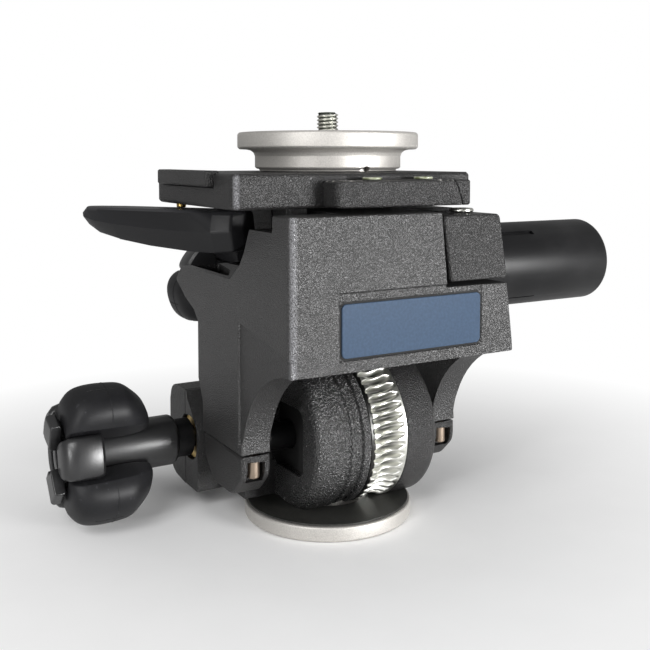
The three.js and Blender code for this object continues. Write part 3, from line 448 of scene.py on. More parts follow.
def lever_black():
    """Satin black of the release lever, with a painted highlight along its top."""
    shader = Shader("lever_black")
    grain = shader.noise(1400, 2.0, 0.6)
    up = shader.part(2, shader.add("ShaderNodeTexCoord", {}, {}, "Normal"))
    # painted highlight on faces that look up, painted shade on the sides
    colour = shader.mix(up.between(0.25, 0.8), LEVER_SHADED_SIDES, LEVER_TOP_HIGHLIGHT)
    shader.set(Base_Color=colour, Roughness=0.36 + grain * 0.12, Normal=shader.bump(grain, 0.06 * MM, 0.5),
               Specular_IOR_Level=0.3)
    return shader.material


def tube_black():
    """Smooth black sleeve of the spring tube, with a fine drawn grain."""
    shader = Shader("tube_black")
    grain = shader.noise(900, 2.0, 0.6, (0.15, 1, 1))
    smears = shader.noise(60, 3.0)
    colour = shader.mix(smears.between(0.4, 0.7), TUBE_CLEAN, TUBE_SMEARED)
    shader.set(Base_Color=colour, Roughness=0.3 + grain * 0.12, Normal=shader.bump(grain, 0.03 * MM, 0.4),
               Specular_IOR_Level=0.2)
    return shader.material


def plate():
    """Bare blue-grey enamel, slightly mottled."""
    colours = bpy.context.scene.head_colours
    shader = Shader("blue_grey_enamel")
    mottle = shader.noise(900, 2.0)
    colour = shader.mix(mottle.between(0.35, 0.7), colours.plate[:], shade(colours.plate, 1.22))
    shader.set(Base_Color=colour, Roughness=0.34 + mottle * 0.1, Normal=shader.bump(mottle, 0.02 * MM, 0.4),
               Specular_IOR_Level=0.08)
    return shader.material


def washer():
    """Black friction disc with faint rubbed rings."""
    shader = Shader("friction_disc")
    rings = shader.add("ShaderNodeTexWave", {"wave_type": "RINGS", "rings_direction": "Z"}, {
        "Vector": shader.place, "Scale": 260.0, "Distortion": 1.5, "Detail": 2.0})
    dust = shader.noise(800, 2.0)
    colour = shader.mix(dust.between(0.4, 0.75), WASHER_CLEAN, WASHER_DUSTY)
    shader.set(Base_Color=colour, Roughness=0.4 + dust * 0.2, Normal=shader.bump(rings, 0.05 * MM, 0.4))
    return shader.material


def vial():
    """Clear cover over pale fluid, with a soft light spot for the bubble."""
    shader = Shader("bubble_window")
    swirl = shader.noise(300, 2.0)
    colour = shader.mix(swirl.between(0.45, 0.6), VIAL_FLUID, VIAL_BUBBLE)
    shader.set(Base_Color=colour, Roughness=0.06 + swirl * 0.08, Coat_Weight=0.6,
               Normal=shader.bump(swirl, 0.02 * MM, 0.3))
    return shader.material


def shadow_black():
    """Deep matt black of painted shade, laid in slits, gaps and recesses."""
    shader = Shader("slit_black")
    # painted shade, with a little dust
    dust = shader.noise(900, 2.0)
    colour = shader.mix(dust.between(0.4, 0.8), PAINTED_SHADE_BLACK, PAINTED_SHADE_DUSTY)
    shader.set(Base_Color=colour, Roughness=0.7 + dust * 0.2)
    return shader.material


FINISHES = {
    # the slots of the record
    "cast_black": paint, "grey_metal": grey_metal, "zinc": zinc, "steel": steel, "brass": brass,
    "black_plastic": plastic, "rubber": rubber, "plate_blue": plate, "washer": washer, "vial": vial,
    # the scene's own
    "chipped": chipped_paint, "barrel": barrel_paint, "tube_black": tube_black, "slit": shadow_black,
    "bronze": bronze, "dark_steel": dark_steel,
}
_made = {}


def finish_for(slot):
    """The finish of a slot of the record, or one of the scene's own, made once."""
    if slot not in _made:
        _made[slot] = FINISHES[slot]()
    return _made[slot]


# Mesh helpers

def soften(work, sharp_degrees):
    """Smooth faces, with edges above the angle kept sharp."""
    limit = math.radians(sharp_degrees)
    for face in work.faces:
        face.smooth = True
    for edge in work.edges:
        edge.smooth = len(edge.link_faces) == 2 and edge.calc_face_angle(0.0) < limit


def new_object(name, work, material=None):
    """An object of the scene from a bmesh, which is used up."""
    mesh = bpy.data.meshes.new(name)
    work.to_mesh(mesh)
    work.free()
    if material is not None:
        mesh.materials.append(material)
    made = bpy.data.objects.new(name, mesh)
    bpy.context.scene.collection.objects.link(made)
    return made


def add_piece(name, work, node, material=None, sharp_degrees=32, replaces=True):
    """A new piece from a bmesh, which rides on the node's body and by default stands for the node."""
    bmesh.ops.recalc_face_normals(work, faces=work.faces)
    soften(work, sharp_degrees)
    piece = new_object(name, work, material or finish_for(SLOT_OF[node]))
    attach(piece, BODY_OF[node])
    if replaces:
        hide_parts(node)
    return piece


def blacken(piece, lies_inside):
    """Gives the faces that a test picks the black of painted shade."""
    piece.data.materials.append(finish_for("slit"))
    for face in piece.data.polygons:
        if lies_inside(face):
            face.material_index = 1


def inside(place, box):
    """Whether a place lies within a box, given in mm as (low, high) along each axis."""
    return all(low * MM < along < high * MM for along, (low, high) in zip(place, box))


def skin(work, rings, caps=True):
    """Quads between rings of points, with a face over each end."""
    rows = [[work.verts.new(point) for point in ring] for ring in rings]
    count = len(rows[0])
    for low, high in zip(rows, rows[1:]):
        for i in range(count):
            j = (i + 1) % count
            work.faces.new((low[i], low[j], high[j], high[i]))
    if caps:
        work.faces.new(list(reversed(rows[0])))
        work.faces.new(rows[-1])
    return rows


def skin_round(work, rings):
    """A skin whose last ring joins its first."""
    rows = skin(work, rings, caps=False)
    count = len(rows[0])
    for k in range(count):
        j = (k + 1) % count
        work.faces.new((rows[-1][k], rows[-1][j], rows[0][j], rows[0][k]))


def axis_point(axis, centre, radius, along, angle):
    """A point at a radius and angle round an x or z axis through centre."""
    across, up = centre[0] + radius * math.cos(angle), centre[1] + radius * math.sin(angle)
    return Vector((along, across, up) if axis == "x" else (across, up, along))


def eased(profile, radius, steps=3):
    """The closed profile with each corner rounded."""
    smooth = []
    count = len(profile)
    for i in range(count):
        before, here, after = (Vector(profile[(i + k) % count]) for k in (-1, 0, 1))
        back, ahead = before - here, after - here
        if back.angle(ahead, math.pi) > math.radians(172):
            smooth.append(here)
            continue
        reach = min(radius, back.length * 0.45, ahead.length * 0.45)
        start, end = here + back.normalized() * reach, here + ahead.normalized() * reach
        for step in range(steps + 1):
            t = step / steps
            smooth.append(start * (1 - t) ** 2 + here * 2 * t * (1 - t) + end * t ** 2)
    return smooth


def turn(work, profile, axis, centre, rounding, sides=None):
    """Revolves a closed profile of (radius, distance along the axis) that stays off the axis."""
    sides = sides or bpy.context.scene.head_sizes.turn_sides
    outline = eased(profile, rounding)
    skin_round(work, [[axis_point(axis, centre, r, h, 2 * math.pi * i / sides) for r, h in outline]
                      for i in range(sides)])


def turned_piece(name, node, profile, axis="z", centre=(0, 0), rounding=0.3 * MM, replaces=True,
                 material=None):
    """A new piece that a lathe would make, from a profile in mm."""
    work = bmesh.new()
    turn(work, [(r * MM, h * MM) for r, h in profile], axis, centre, rounding)
    return add_piece(name, work, node, material, replaces=replaces)


def tube_along(work, points, radius, sides=6):
    """A thin round strip along points."""
    rings = []
    for i, point in enumerate(points):
        ahead = points[min(i + 1, len(points) - 1)] - points[max(i - 1, 0)]
        towards = ahead.to_track_quat("Z", "Y").to_matrix()
        rings.append([point + towards @ Vector((radius * math.cos(2 * math.pi * k / sides),
                                                radius * math.sin(2 * math.pi * k / sides), 0))
                      for k in range(sides)])
    skin(work, rings)


def carve(piece, cutter_work, sharp_degrees=32):
    """Cuts a bmesh solid out of a piece and keeps the result as its mesh."""
    bmesh.ops.recalc_face_normals(cutter_work, faces=cutter_work.faces)
    cutter = new_object("cutter", cutter_work)
    cut = piece.modifiers.new("cut", "BOOLEAN")
    cut.operation, cut.solver, cut.object = "DIFFERENCE", "EXACT", cutter
    shown = piece.evaluated_get(bpy.context.evaluated_depsgraph_get())
    work = bmesh.new()
    work.from_mesh(bpy.data.meshes.new_from_object(shown))
    piece.modifiers.clear()
    soften(work, sharp_degrees)
    work.to_mesh(piece.data)
    work.free()
    mesh = cutter.data
    bpy.data.objects.remove(cutter)
    bpy.data.meshes.remove(mesh)


def block(work, size, *places):
    """A plain block of a size in mm, set by matrices in turn."""
    matrix = Matrix.Identity(4)
    for place in places:
        matrix = matrix @ place
    scale = Matrix.Diagonal((*[side * MM for side in size], 1))
    bmesh.ops.create_cube(work, size=1.0, matrix=matrix @ scale)


def cut_below(piece, height, sharp_degrees=32):
    """Cuts a piece off flat at a height."""
    cutter = bmesh.new()
    block(cutter, (200, 200, 40), Matrix.Translation((0, 0, height - 20 * MM)))
    carve(piece, cutter, sharp_degrees)


def round_edges(piece, width, segments):
    """Rounds every edge of a piece that turns by more than 40 degrees."""
    rounding = piece.modifiers.new("edges", "BEVEL")
    rounding.width, rounding.segments, rounding.limit_method = width, segments, "ANGLE"
    rounding.angle_limit = math.radians(40)


def rounded_bar(work, low, high, radius, steps=5):
    """A bar between two corners, with rounded long edges along X."""
    ring = []
    corners = ((high.y, high.z, 0), (low.y, high.z, 90), (low.y, low.z, 180), (high.y, low.z, 270))
    for cy, cz, start in corners:
        inward_y = -radius if cy == high.y else radius
        inward_z = -radius if cz == high.z else radius
        for step in range(steps + 1):
            angle = math.radians(start + 90 * step / steps)
            ring.append((cy + inward_y + radius * math.cos(angle), cz + inward_z + radius * math.sin(angle)))
    skin(work, [[Vector((x, y, z)) for y, z in ring] for x in (low.x, high.x)])


SHORTEST_EDGE = 1.3  # as a share of the rounding's width
NARROWEST = math.radians(24)  # a face's angle at a corner that is rounded
WIDEST = math.radians(174)
SMALL_ROUNDING = 0.15 * MM  # on shafts, screws and pins


def takes_rounding(vert, width):
    """Whether the corner has room for a rounding: no short edge and no narrow face meets there."""
    if any(edge.calc_length() < SHORTEST_EDGE * width for edge in vert.link_edges):
        return False
    return all(NARROWEST < loop.calc_angle() < WIDEST or loop.face.calc_area() < width ** 2
               for loop in vert.link_loops)


def eased_copy(node, width=None, material=None, segments=2, sharp_degrees=32):
    """A casting's own shape with its edges rounded and its normals evened; it stands for the node."""
    width = bpy.context.scene.head_sizes.edge_round if width is None else width
    limit = math.radians(sharp_degrees)
    work = bmesh.new()
    work.from_mesh(NODES[node].data)
    bmesh.ops.remove_doubles(work, verts=work.verts, dist=1e-6)
    bmesh.ops.dissolve_limit(work, angle_limit=math.radians(1), verts=work.verts, edges=work.edges)
    weight = work.edges.layers.float.new("bevel_weight_edge")
    roomy = {vert for vert in work.verts if takes_rounding(vert, width)}
    for edge in work.edges:
        sharp = len(edge.link_faces) == 2 and edge.calc_face_angle(0.0) >= limit
        edge[weight] = 1.0 if sharp and roomy.issuperset(edge.verts) else 0.0
    piece = add_piece(f"{node}_fine", work, node, material, sharp_degrees)
    rounding = piece.modifiers.new("edges", "BEVEL")
    rounding.width = width
    rounding.segments = segments
    rounding.limit_method = "WEIGHT"
    rounding.use_clamp_overlap = False
    evened = piece.modifiers.new("normals", "WEIGHTED_NORMAL")
    evened.keep_sharp = True
    return piece


# Pieces

SPACER_BLOCKS = (
    # low and high corner in mm of what stands between the platform and the housing beside the lever
    ((-34.3, -12, 127), (-21, 22, 139.3)), ((-33.5, -24, 121), (-24, -11, 139.3)),
)
# The box in mm in which the housing's faces line the gap round the corner cover; these faces are painted in shade
COVER_GAP = ((16, 53), (-60, -30.9), (107, 180))


class DressCastings(bpy.types.Operator):
    """Gives the painted castings rounded edges and stippled paint."""

    bl_idname = "tripod_head.dress_castings"
    bl_label = "Painted castings"

    def execute(self, context):
        corner = HOUSING_LOW + Vector((1.3, 1.3, 0)) * MM
        finish = paint("housing_paint", corner=corner, depth=0.36 * MM, shine=0.85)
        housing = eased_copy("tilt_housing", material=finish)
        # painted shade on the housing's faces in the gap round the corner cover
        blacken(housing, self.in_cover_gap)
        spacer = bmesh.new()
        for low, high in SPACER_BLOCKS:
            rounded_bar(spacer, Vector(low) * MM, Vector(high) * MM, 1 * MM)
        add_piece("platform_spacer", spacer, "tilt_housing", replaces=False)
        corner = PLATFORM_LOW + Vector((1.0, 1.0, 0)) * MM
        finish = paint("platform_paint", corner=corner, depth=0.3 * MM, shine=0.42)
        eased_copy("platform", material=finish)
        for node in ("gearbox_cover", "ear_cap_left", "ear_cap_right", "corner_cover", "side_rail",
                     "tilt_gear_cover"):
            eased_copy(node)
        for node in ("front_jaw", "jaw_end"):
            eased_copy(node, material=finish_for("chipped"))
        return {"FINISHED"}

    def in_cover_gap(self, face):
        """Whether a face of the housing there looks right, up or to the front."""
        normal = face.normal
        return inside(face.center, COVER_GAP) and (normal.x > 0.9 or normal.z > 0.9 or normal.y < -0.9)


DRUM_FACE = -21.5  # x in mm of the drum's left face
# The recess in that face: its corners in mm, x from the face and the others from the tilt axis
WINDOW_LOW = (-2, -19.4, -14.4)
WINDOW_HIGH = (3.45, 8.9, 14.9)
# The box in mm in which the recess's own faces lie, which are painted in shade: x, then y and z from the tilt axis
DRUM_RECESS = ((-21.3, -17.6), (-19.8, 9.3), (-14.8, 15.3))


class DressDrum(bpy.types.Operator):
    """Turns the drum's two barrels, rounds the gearbox half of its casting and paints shade in its left face's
    recess.
    """

    bl_idname = "tripod_head.dress_drum"
    bl_label = "Drum"

    def execute(self, context):
        centre = (TILT_AXIS.y, TILT_AXIS.z)
        outer = DRUM_RADIUS / MM
        face, right = DRUM_FACE, RING_LOW.x / MM
        casting = eased_copy("drum_casting")
        barrel = turned_piece("drum_barrel_skin", "drum_casting", [
            (7, face - 0.05), (outer - 3.4, face - 0.05), (outer - 1.6, face + 0.8),
            (outer - 0.5, face + 2.6), (outer + 0.06, face + 5.2), (outer + 0.06, -7.6), (outer - 1.15, -7),
            (outer - 1.15, -5.6), (outer - 0.34, -5), (outer - 0.34, -3.6), (outer - 1.35, -3),
            (outer - 1.35, 0.3), (outer + 0.06, 0.7), (outer + 0.06, right - 0.3), (outer - 3, right - 0.3),
            (outer - 3, face + 4.5), (7, face + 4.5)],
            "x", centre, 0.35 * MM, replaces=False, material=finish_for("barrel"))
        window = bmesh.new()
        origin = (face * MM, *centre)
        low, high = (Vector([start + step * MM for start, step in zip(origin, corner)])
                     for corner in (WINDOW_LOW, WINDOW_HIGH))
        rounded_bar(window, low, high, 5 * MM, 8)
        carve(barrel, window)
        # painted shade on the faces of the recess in the drum's left face
        for part in (barrel, casting):
            blacken(part, self.in_recess)
        cut_below(barrel, DRUM_FLOOR)
        left, right = SHELL_LOW.x / MM, SHELL_HIGH.x / MM
        shell = turned_piece("drum_end_fine", "drum_end_shell", [
            (6.3, left), (outer - 0.4, left), (outer, left + 0.7), (outer, right - 4.5),
            (outer - 0.35, right - 2.9), (outer - 1.3, right - 1.5), (outer - 2.8, right - 0.5),
            (outer - 4.6, right), (6.3, right)], "x", centre, 0.5 * MM)
        cut_below(shell, DRUM_FLOOR)
        return {"FINISHED"}

    def in_recess(self, face):
        """Whether a face lies in the recess of the drum's left face."""
        place = face.center
        return inside((place.x, place.y - TILT_AXIS.y, place.z - TILT_AXIS.z), DRUM_RECESS)


RING_BORE = 21.3 * MM
RING_PITCH_RADIUS = 31.1 * MM
RING_FOOT_RADIUS = 12.3 * MM  # the hole that lets the post through
SWEEP_ROOT = 10.1 * MM  # how far the worm's sweep reaches between the teeth
SWEEP_TIP = 7.6 * MM  # and over their crests
HALF_CREST = 0.52 * MM
FLANK = math.tan(math.radians(23))  # slope of the teeth's sides


class DressRingGear(bpy.types.Operator):
    """Cuts the bright ring gear's throated teeth as its worm would."""

    bl_idname = "tripod_head.dress_ring_gear"
    bl_label = "Ring gear"

    def execute(self, context):
        teeth = context.scene.head_sizes.ring_teeth
        middle, half = (RING_LOW.x + RING_HIGH.x) / 2, (RING_HIGH.x - RING_LOW.x) / 2
        pitch = 2 * math.pi * RING_PITCH_RADIUS / teeth
        slant = -pitch / (2 * math.pi * (WORM_DISTANCE - RING_PITCH_RADIUS)) / RING_PITCH_RADIUS
        per_tooth, rows = 14, 35
        phase = math.pi / 2 - slant * middle

        def surface(offset, away):
            """Radius where the worm's sweep leaves the tooth, away from the middle of a gap."""
            reach = max(SWEEP_ROOT - max(0.0, away * pitch - HALF_CREST) / FLANK, SWEEP_TIP)
            if abs(offset) >= reach:
                return DRUM_RADIUS
            return min(DRUM_RADIUS, WORM_DISTANCE - math.sqrt(reach ** 2 - offset ** 2))

        work = bmesh.new()
        rings = []
        offsets = [half - 2 * half * row / (rows - 1) for row in range(rows)]
        for column in range(teeth * per_tooth):
            tooth, part = divmod(column, per_tooth)
            share = part / per_tooth - 0.5
            throat = ((h, surface(h, 0.5 - abs(share))) for h in offsets)
            outline = [(half, RING_BORE), *throat, (-half, RING_BORE)]
            turned_by = (tooth + share) * 2 * math.pi / teeth + phase + slant * middle
            rings.append([self.ring_point(r, middle + h, turned_by + slant * h) for h, r in outline])
        skin_round(work, rings)
        gear = add_piece("tilt_ring_gear_fine", work, "tilt_ring_gear", gear_zinc(), sharp_degrees=50)
        cut_below(gear, DRUM_FLOOR, 50)
        foot = bmesh.new()
        bmesh.ops.create_cone(foot, cap_ends=True, segments=48, radius1=RING_FOOT_RADIUS,
                              radius2=RING_FOOT_RADIUS, depth=24 * MM,
                              matrix=Matrix.Translation((0, 0, 13 * MM)))
        carve(gear, foot, 50)
        return {"FINISHED"}

    def ring_point(self, radius, along, angle):
        """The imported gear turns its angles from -Y."""
        back, down = radius * math.cos(angle), radius * math.sin(angle)
        return Vector((along, TILT_AXIS.y - back, TILT_AXIS.z - down))


# Radii in mm
PLATE_BORE = 5.06
BASE_BORE = 9.3
WASHER_BORE = 16
NOTCH_RADIUS = 2.3  # of the notch under the plate's hub, at its front
NOTCH_REACH = 32  # how far out of the middle it lies


class DressPlateAndBase(bpy.types.Operator):
    """Turns the camera plate, the base disc and its washer."""

    bl_idname = "tripod_head.dress_plate_and_base"
    bl_label = "Camera plate and base"

    def execute(self, context):
        low, top = PLATE_LOW.z / MM, PLATE_HIGH.z / MM
        rim = (PLATE_HIGH.x - PLATE_LOW.x) / 2 / MM
        hub = turned_piece("camera_plate_fine", "camera_plate", [
            (PLATE_BORE, top), (rim - 0.7, top), (rim, top - 0.9), (rim, 164.1), (rim - 0.9, 163.2),
            (36.6, 163.2), (34.2, 162.7), (32.9, 161.7), (32.3, 160.2), (32.3, 155.4), (31.5, 154.7),
            (30.4, 154.5), (30.2, low), (PLATE_BORE, low)])
        notch = bmesh.new()
        place = Matrix.Translation((0, -NOTCH_REACH * MM, low * MM)) @ Matrix.Rotation(math.pi / 2, 4, "X")
        bmesh.ops.create_cone(notch, cap_ends=True, segments=24, radius1=NOTCH_RADIUS * MM,
                              radius2=NOTCH_RADIUS * MM, depth=8 * MM, matrix=place)
        carve(hub, notch)
        top = BASE_HIGH.z / MM
        rim = (BASE_HIGH.x - BASE_LOW.x) / 2 / MM
        turned_piece("base_disc_fine", "base_disc", [
            (BASE_BORE, 0), (rim - 0.7, 0), (rim, 0.7), (rim, top - 0.5), (rim - 0.5, top),
            (BASE_BORE, top)])
        low, top = WASHER_LOW.z / MM, WASHER_HIGH.z / MM
        rim = (WASHER_HIGH.x - WASHER_LOW.x) / 2 / MM
        turned_piece("friction_washer_fine", "friction_washer", [
            (WASHER_BORE, low), (rim, low), (rim, top), (WASHER_BORE, top)], rounding=0.15 * MM)
        return {"FINISHED"}


class DressStud(bpy.types.Operator):
    """Cuts the camera stud's thread and its screwdriver slot."""

    bl_idname = "tripod_head.dress_stud"
    bl_label = "Camera stud"

    def execute(self, context):
        sizes = context.scene.head_sizes
        top, bottom = STUD_HIGH.z, PLATE_HIGH.z - 3 * MM
        lead_in = 0.8 * MM
        lead_depth = 0.7 * MM
        sides, per_pitch = 72, 12
        step = sizes.thread_pitch / per_pitch
        rows = int((top - bottom) / step)

        def thread(height, angle):
            """The stud's radius: flats on the crests and in the roots, and smaller at the top."""
            ridge = abs(2 * ((height / sizes.thread_pitch - angle / (2 * math.pi)) % 1.0) - 1)
            flank = min(1.0, max(0.0, (ridge - 0.1) / 0.8))
            lead = min(1.0, max(0.0, (top - height) / lead_in))
            return STUD_RADIUS - sizes.thread_depth * flank - (1 - lead) * lead_depth

        work = bmesh.new()
        rings = []
        for row in range(rows + 1):
            height = top - (rows - row) * step
            rings.append([axis_point("z", (0, 0), thread(height, a), height, a)
                          for a in (2 * math.pi * i / sides for i in range(sides))])
        skin(work, rings)
        stud = add_piece("camera_stud_fine", work, "camera_stud", stud_zinc(), sharp_degrees=60)
        slot = bmesh.new()
        block(slot, (14, 1.3, 3), Matrix.Translation((0, 0, top)))
        carve(stud, slot)
        return {"FINISHED"}


# A knob is worked out along its own +Z from its seat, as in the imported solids

LOBE_STATIONS = [
    # distance along the axis, outer radius, inner radius, share of the full width
    (22.5, 18.5, 12.4, 0.68), (24.5, 22.7, 12.2, 0.82), (28.5, 26.8, 12.2, 0.93), (33, 30, 12.3, 0.98),
    (38.5, 31, 12.6, 1.0), (48.5, 31, 14, 1.0), (54.5, 29.2, 15.4, 0.98), (58, 25, 16, 0.92),
    (59, 21.5, 16, 0.84),
]
LOBE_HALF_ANGLE = math.radians(33)
LOBE_LEVELS = 36
LOBE_FALL = 0.42  # how far its back falls away to its sides
LOBE_POWER = 3.2  # and how late
# The parting line and the slit on a lobe's back: place along the axis, depth and radius in mm
SEAM_LEVEL = 41.0
SEAM_SUNK = 0.02
SEAM_RADIUS = 0.17
SLIT_START = 37.5
SLIT_STEP = 1.5
SLIT_SUNK = 0.32
SLIT_RADIUS = 0.5
WEB_LEVELS = [
    # distance along the axis, radius
    (44.5, 19.5), (45, 21.6), (46.3, 22.8), (48.5, 23.2), (56, 23.1), (59.5, 22), (61.5, 19.8), (62.2, 17),
]
WEB_HALF_ANGLE = math.pi / 3 - LOBE_HALF_ANGLE - math.radians(0.9)
WEB_SHOULDER = 14
WEB_FOOT = 11
TAB_BARS = (
    # low corner, high corner and edge rounding in mm of a tab's head and its stalk
    ((-4.9, 7, 60), (4.9, 18.8, 64.9), 1.6), ((-3.5, 6.5, 54), (3.5, 13, 62), 0.8),
)
HUB = [(0.3, 44.5), (11.6, 44.5), (11.6, 58.5), (10.4, 59.3), (6.4, 59.3), (6.2, 55.5), (0.3, 55.5)]
SLEEVE = [(5.3, 8), (9.4, 8), (10.5, 8.5), (11.2, 9.6), (11.2, 44.2), (5.3, 44.2)]
SCREW = [(2.6, 55.8), (5.9, 55.8), (5.9, 58.3), (5.2, 58.8), (2.6, 58.8)]
KNOBS = {
    # axis, seat on it, centre across it, turn
    "pan": ("x", -52 * MM, (38 * MM, 31.3 * MM), math.radians(-78)),
    "tilt": ("y", 49 * MM, (-9 * MM, 94 * MM), math.radians(12)),
}


def knob_place(name):
    """The matrix from a knob's own frame to the head's."""
    axis, seat, centre, turned_by = KNOBS[name]
    if axis == "x":
        columns, origin = ((0, 1, 0), (0, 0, -1), (-1, 0, 0)), Vector((seat, *centre))
    else:
        columns, origin = ((-1, 0, 0), (0, 0, 1), (0, 1, 0)), Vector((centre[0], seat, centre[1]))
    basis = Matrix(columns).transposed().to_4x4()
    return Matrix.Translation(origin) @ basis @ Matrix.Rotation(turned_by, 4, "Z")


def station(along):
    """The lobe's radii and width at a distance along the axis, through the stations on a smooth curve."""
    count = len(LOBE_STATIONS)
    k = next((i for i in range(count - 1) if along <= LOBE_STATIONS[i + 1][0]), count - 2)
    points = [LOBE_STATIONS[min(max(k + i, 0), count - 1)] for i in (-1, 0, 1, 2)]
    places, *columns = zip(*points)
    span = places[2] - places[1]
    t = (along - places[1]) / span
    values = []
    for before, here, after, beyond in columns:
        slope_here = (after - before) / max(places[2] - places[0], 1e-6) * span
        slope_after = (beyond - here) / max(places[3] - places[1], 1e-6) * span
        values.append(here * (2 * t ** 3 - 3 * t ** 2 + 1) + slope_here * (t ** 3 - 2 * t ** 2 + t)
                      + after * (3 * t ** 2 - 2 * t ** 3) + slope_after * (t ** 3 - t ** 2))
    return values


def lobe_back(outer, inner, across):
    """The radius of a lobe's back; across runs from 0 at its middle to 1 at its sides."""
    return outer - (outer - inner) * LOBE_FALL * across ** LOBE_POWER


def lobe_ring(middle, along, across=28, under=14):
    """The lobe's outline at a distance along the axis: over its back, and back under it."""
    outer, inner, share = station(along)
    half = LOBE_HALF_ANGLE * share
    ring = []
    for i in range(across + 1):
        t = 2 * i / across - 1
        ring.append((lobe_back(outer, inner, abs(t)), middle + t * half))
    for i in range(under + 1):
        t = 1 - 2 * i / under
        ring.append((inner, middle + t * half))
    return [Vector((r * math.sin(a) * MM, r * math.cos(a) * MM, along * MM)) for r, a in ring]


class DressKnobs(bpy.types.Operator):
    """Moulds the rubber lobes, sleeves and cores of both knobs, and turns their screws and shafts."""

    bl_idname = "tripod_head.dress_knobs"
    bl_label = "Knobs"

    def execute(self, context):
        for name in KNOBS:
            place = knob_place(name)
            for k in range(3):
                self.lobe(name, k, place)
            self.turned(name, "sleeve", place, SLEEVE, 0.5, 96)
            self.core(name, place)
            self.turned(name, "screw", place, SCREW, 0.3, 48, finish_for("dark_steel"))
            eased_copy(f"{name}_knob_shaft", SMALL_ROUNDING, finish_for("dark_steel"))
        return {"FINISHED"}

    def turned(self, name, part, place, profile, rounding, sides, material=None):
        """One of the knob's turned parts."""
        work = bmesh.new()
        turn(work, [(r * MM, h * MM) for r, h in profile], "z", (0, 0), rounding * MM, sides)
        work.transform(place)
        add_piece(f"{name}_knob_{part}_fine", work, f"{name}_knob_{part}", material)

    def core(self, name, place):
        """A hub with three broad webs, and tabs out of its front before the lobes."""
        work = bmesh.new()
        turn(work, [(r * MM, h * MM) for r, h in HUB], "z", (0, 0), 0.4 * MM, 96)
        for k in range(3):
            self.web(work, math.pi / 3 + 2 * math.pi * k / 3)
        # the pan knob has two tabs, and the tilt knob is taken to have three
        for k in (range(1, 3) if name == "pan" else range(3)):
            tab = bmesh.new()
            for low, high, rounding in TAB_BARS:
                rounded_bar(tab, Vector(low) * MM, Vector(high) * MM, rounding * MM)
            tab.transform(Matrix.Rotation(-2 * math.pi * k / 3, 4, "Z"))
            part = bpy.data.meshes.new("tab")
            tab.to_mesh(part)
            tab.free()
            work.from_mesh(part)
            bpy.data.meshes.remove(part)
        work.transform(place)
        round_edges(add_piece(f"{name}_knob_core_fine", work, f"{name}_knob_core"), 0.7 * MM, 3)

    def web(self, work, middle):
        """A broad web between two lobes, rounded over its back."""
        rings = []
        for along, reach in WEB_LEVELS:
            fall = (reach - WEB_SHOULDER) * 0.3
            over = [(reach - fall * abs(i / 10 - 1) ** 9, i / 10 - 1) for i in range(21)]
            ring = over + [(WEB_FOOT, 1 - i / 4) for i in range(9)]
            turned = [(r, middle + t * WEB_HALF_ANGLE) for r, t in ring]
            rings.append([Vector((r * math.sin(a), r * math.cos(a), along)) * MM for r, a in turned])
        skin(work, rings)

    def lobe(self, name, k, place):
        """A rubber lobe, with its mould's parting line across its back and a slit along it, drawn as a strip of
        painted shade.
        """
        node = f"{name}_knob_lobe_{k + 1}"
        middle = 2 * math.pi * k / 3
        first, last = LOBE_STATIONS[0][0], LOBE_STATIONS[-1][0]
        levels = [first + (last - first) * i / LOBE_LEVELS for i in range(LOBE_LEVELS + 1)]
        work = bmesh.new()
        skin(work, [lobe_ring(middle, level) for level in levels])
        work.transform(place)
        round_edges(add_piece(f"{node}_fine", work, node), 1.3 * MM, 4)
        seam = [(SEAM_LEVEL, middle + LOBE_HALF_ANGLE * (i / 12 - 1) * 0.9, SEAM_SUNK) for i in range(25)]
        self.strip(node, "seam", place, middle, SEAM_RADIUS, None, seam)
        slit = [(SLIT_START + i * SLIT_STEP, middle, SLIT_SUNK) for i in range(9)]
        # the slit is a thin strip of painted shade sunk into the lobe's back
        self.strip(node, "slit", place, middle, SLIT_RADIUS, finish_for("slit"), slit)

    def strip(self, node, label, place, middle, radius, material, course):
        """A thin strip on the lobe's skin along (distance along the axis, angle, depth)."""
        points = []
        for along, angle, depth in course:
            outer, inner, share = station(along)
            r = lobe_back(outer, inner, abs(angle - middle) / (LOBE_HALF_ANGLE * share)) - depth
            points.append(Vector((r * math.sin(angle), r * math.cos(angle), along)) * MM)
        work = bmesh.new()
        tube_along(work, points, radius * MM)
        work.transform(place)
        add_piece(f"{node}_{label}", work, node, material, replaces=False)


TUBE_SLOTS = (
    # degrees round the tube, width and depth in mm
    (128, 2.4, 1.3), (227, 0.7, 0.9),
)
TUBE_SLOT_LENGTH = 33.6
TUBE_SLOT_PLACE = 16  # of its middle, from the tube's left end


class DressTube(bpy.types.Operator):
    """Turns the spring tube and sinks its two long slots."""

    bl_idname = "tripod_head.dress_tube"
    bl_label = "Spring tube"

    def execute(self, context):
        centre = ((TUBE_LOW.y + TUBE_HIGH.y) / 2, (TUBE_LOW.z + TUBE_HIGH.z) / 2)
        radius = (TUBE_HIGH.z - TUBE_LOW.z) / 2 / MM
        left, right = TUBE_LOW.x / MM, TUBE_HIGH.x / MM
        tube = turned_piece("spring_tube_fine", "spring_tube", [
            (0.1, left), (radius, left), (radius, right - 1.8), (radius - 0.6, right - 0.6),
            (radius - 1.9, right), (radius - 2.3, right), (1.2, right), (0.1, right)], "x", centre, 0.4 * MM,
            material=finish_for("tube_black"))
        middle = Matrix.Translation(((left + TUBE_SLOT_PLACE) * MM, *centre))
        for degrees, width, depth in TUBE_SLOTS:
            slot = bmesh.new()
            block(slot, (TUBE_SLOT_LENGTH, 2 * depth, width), middle,
                  Matrix.Rotation(math.radians(degrees), 4, "X"), Matrix.Translation((0, radius * MM, 0)))
            carve(tube, slot)
        return {"FINISHED"}


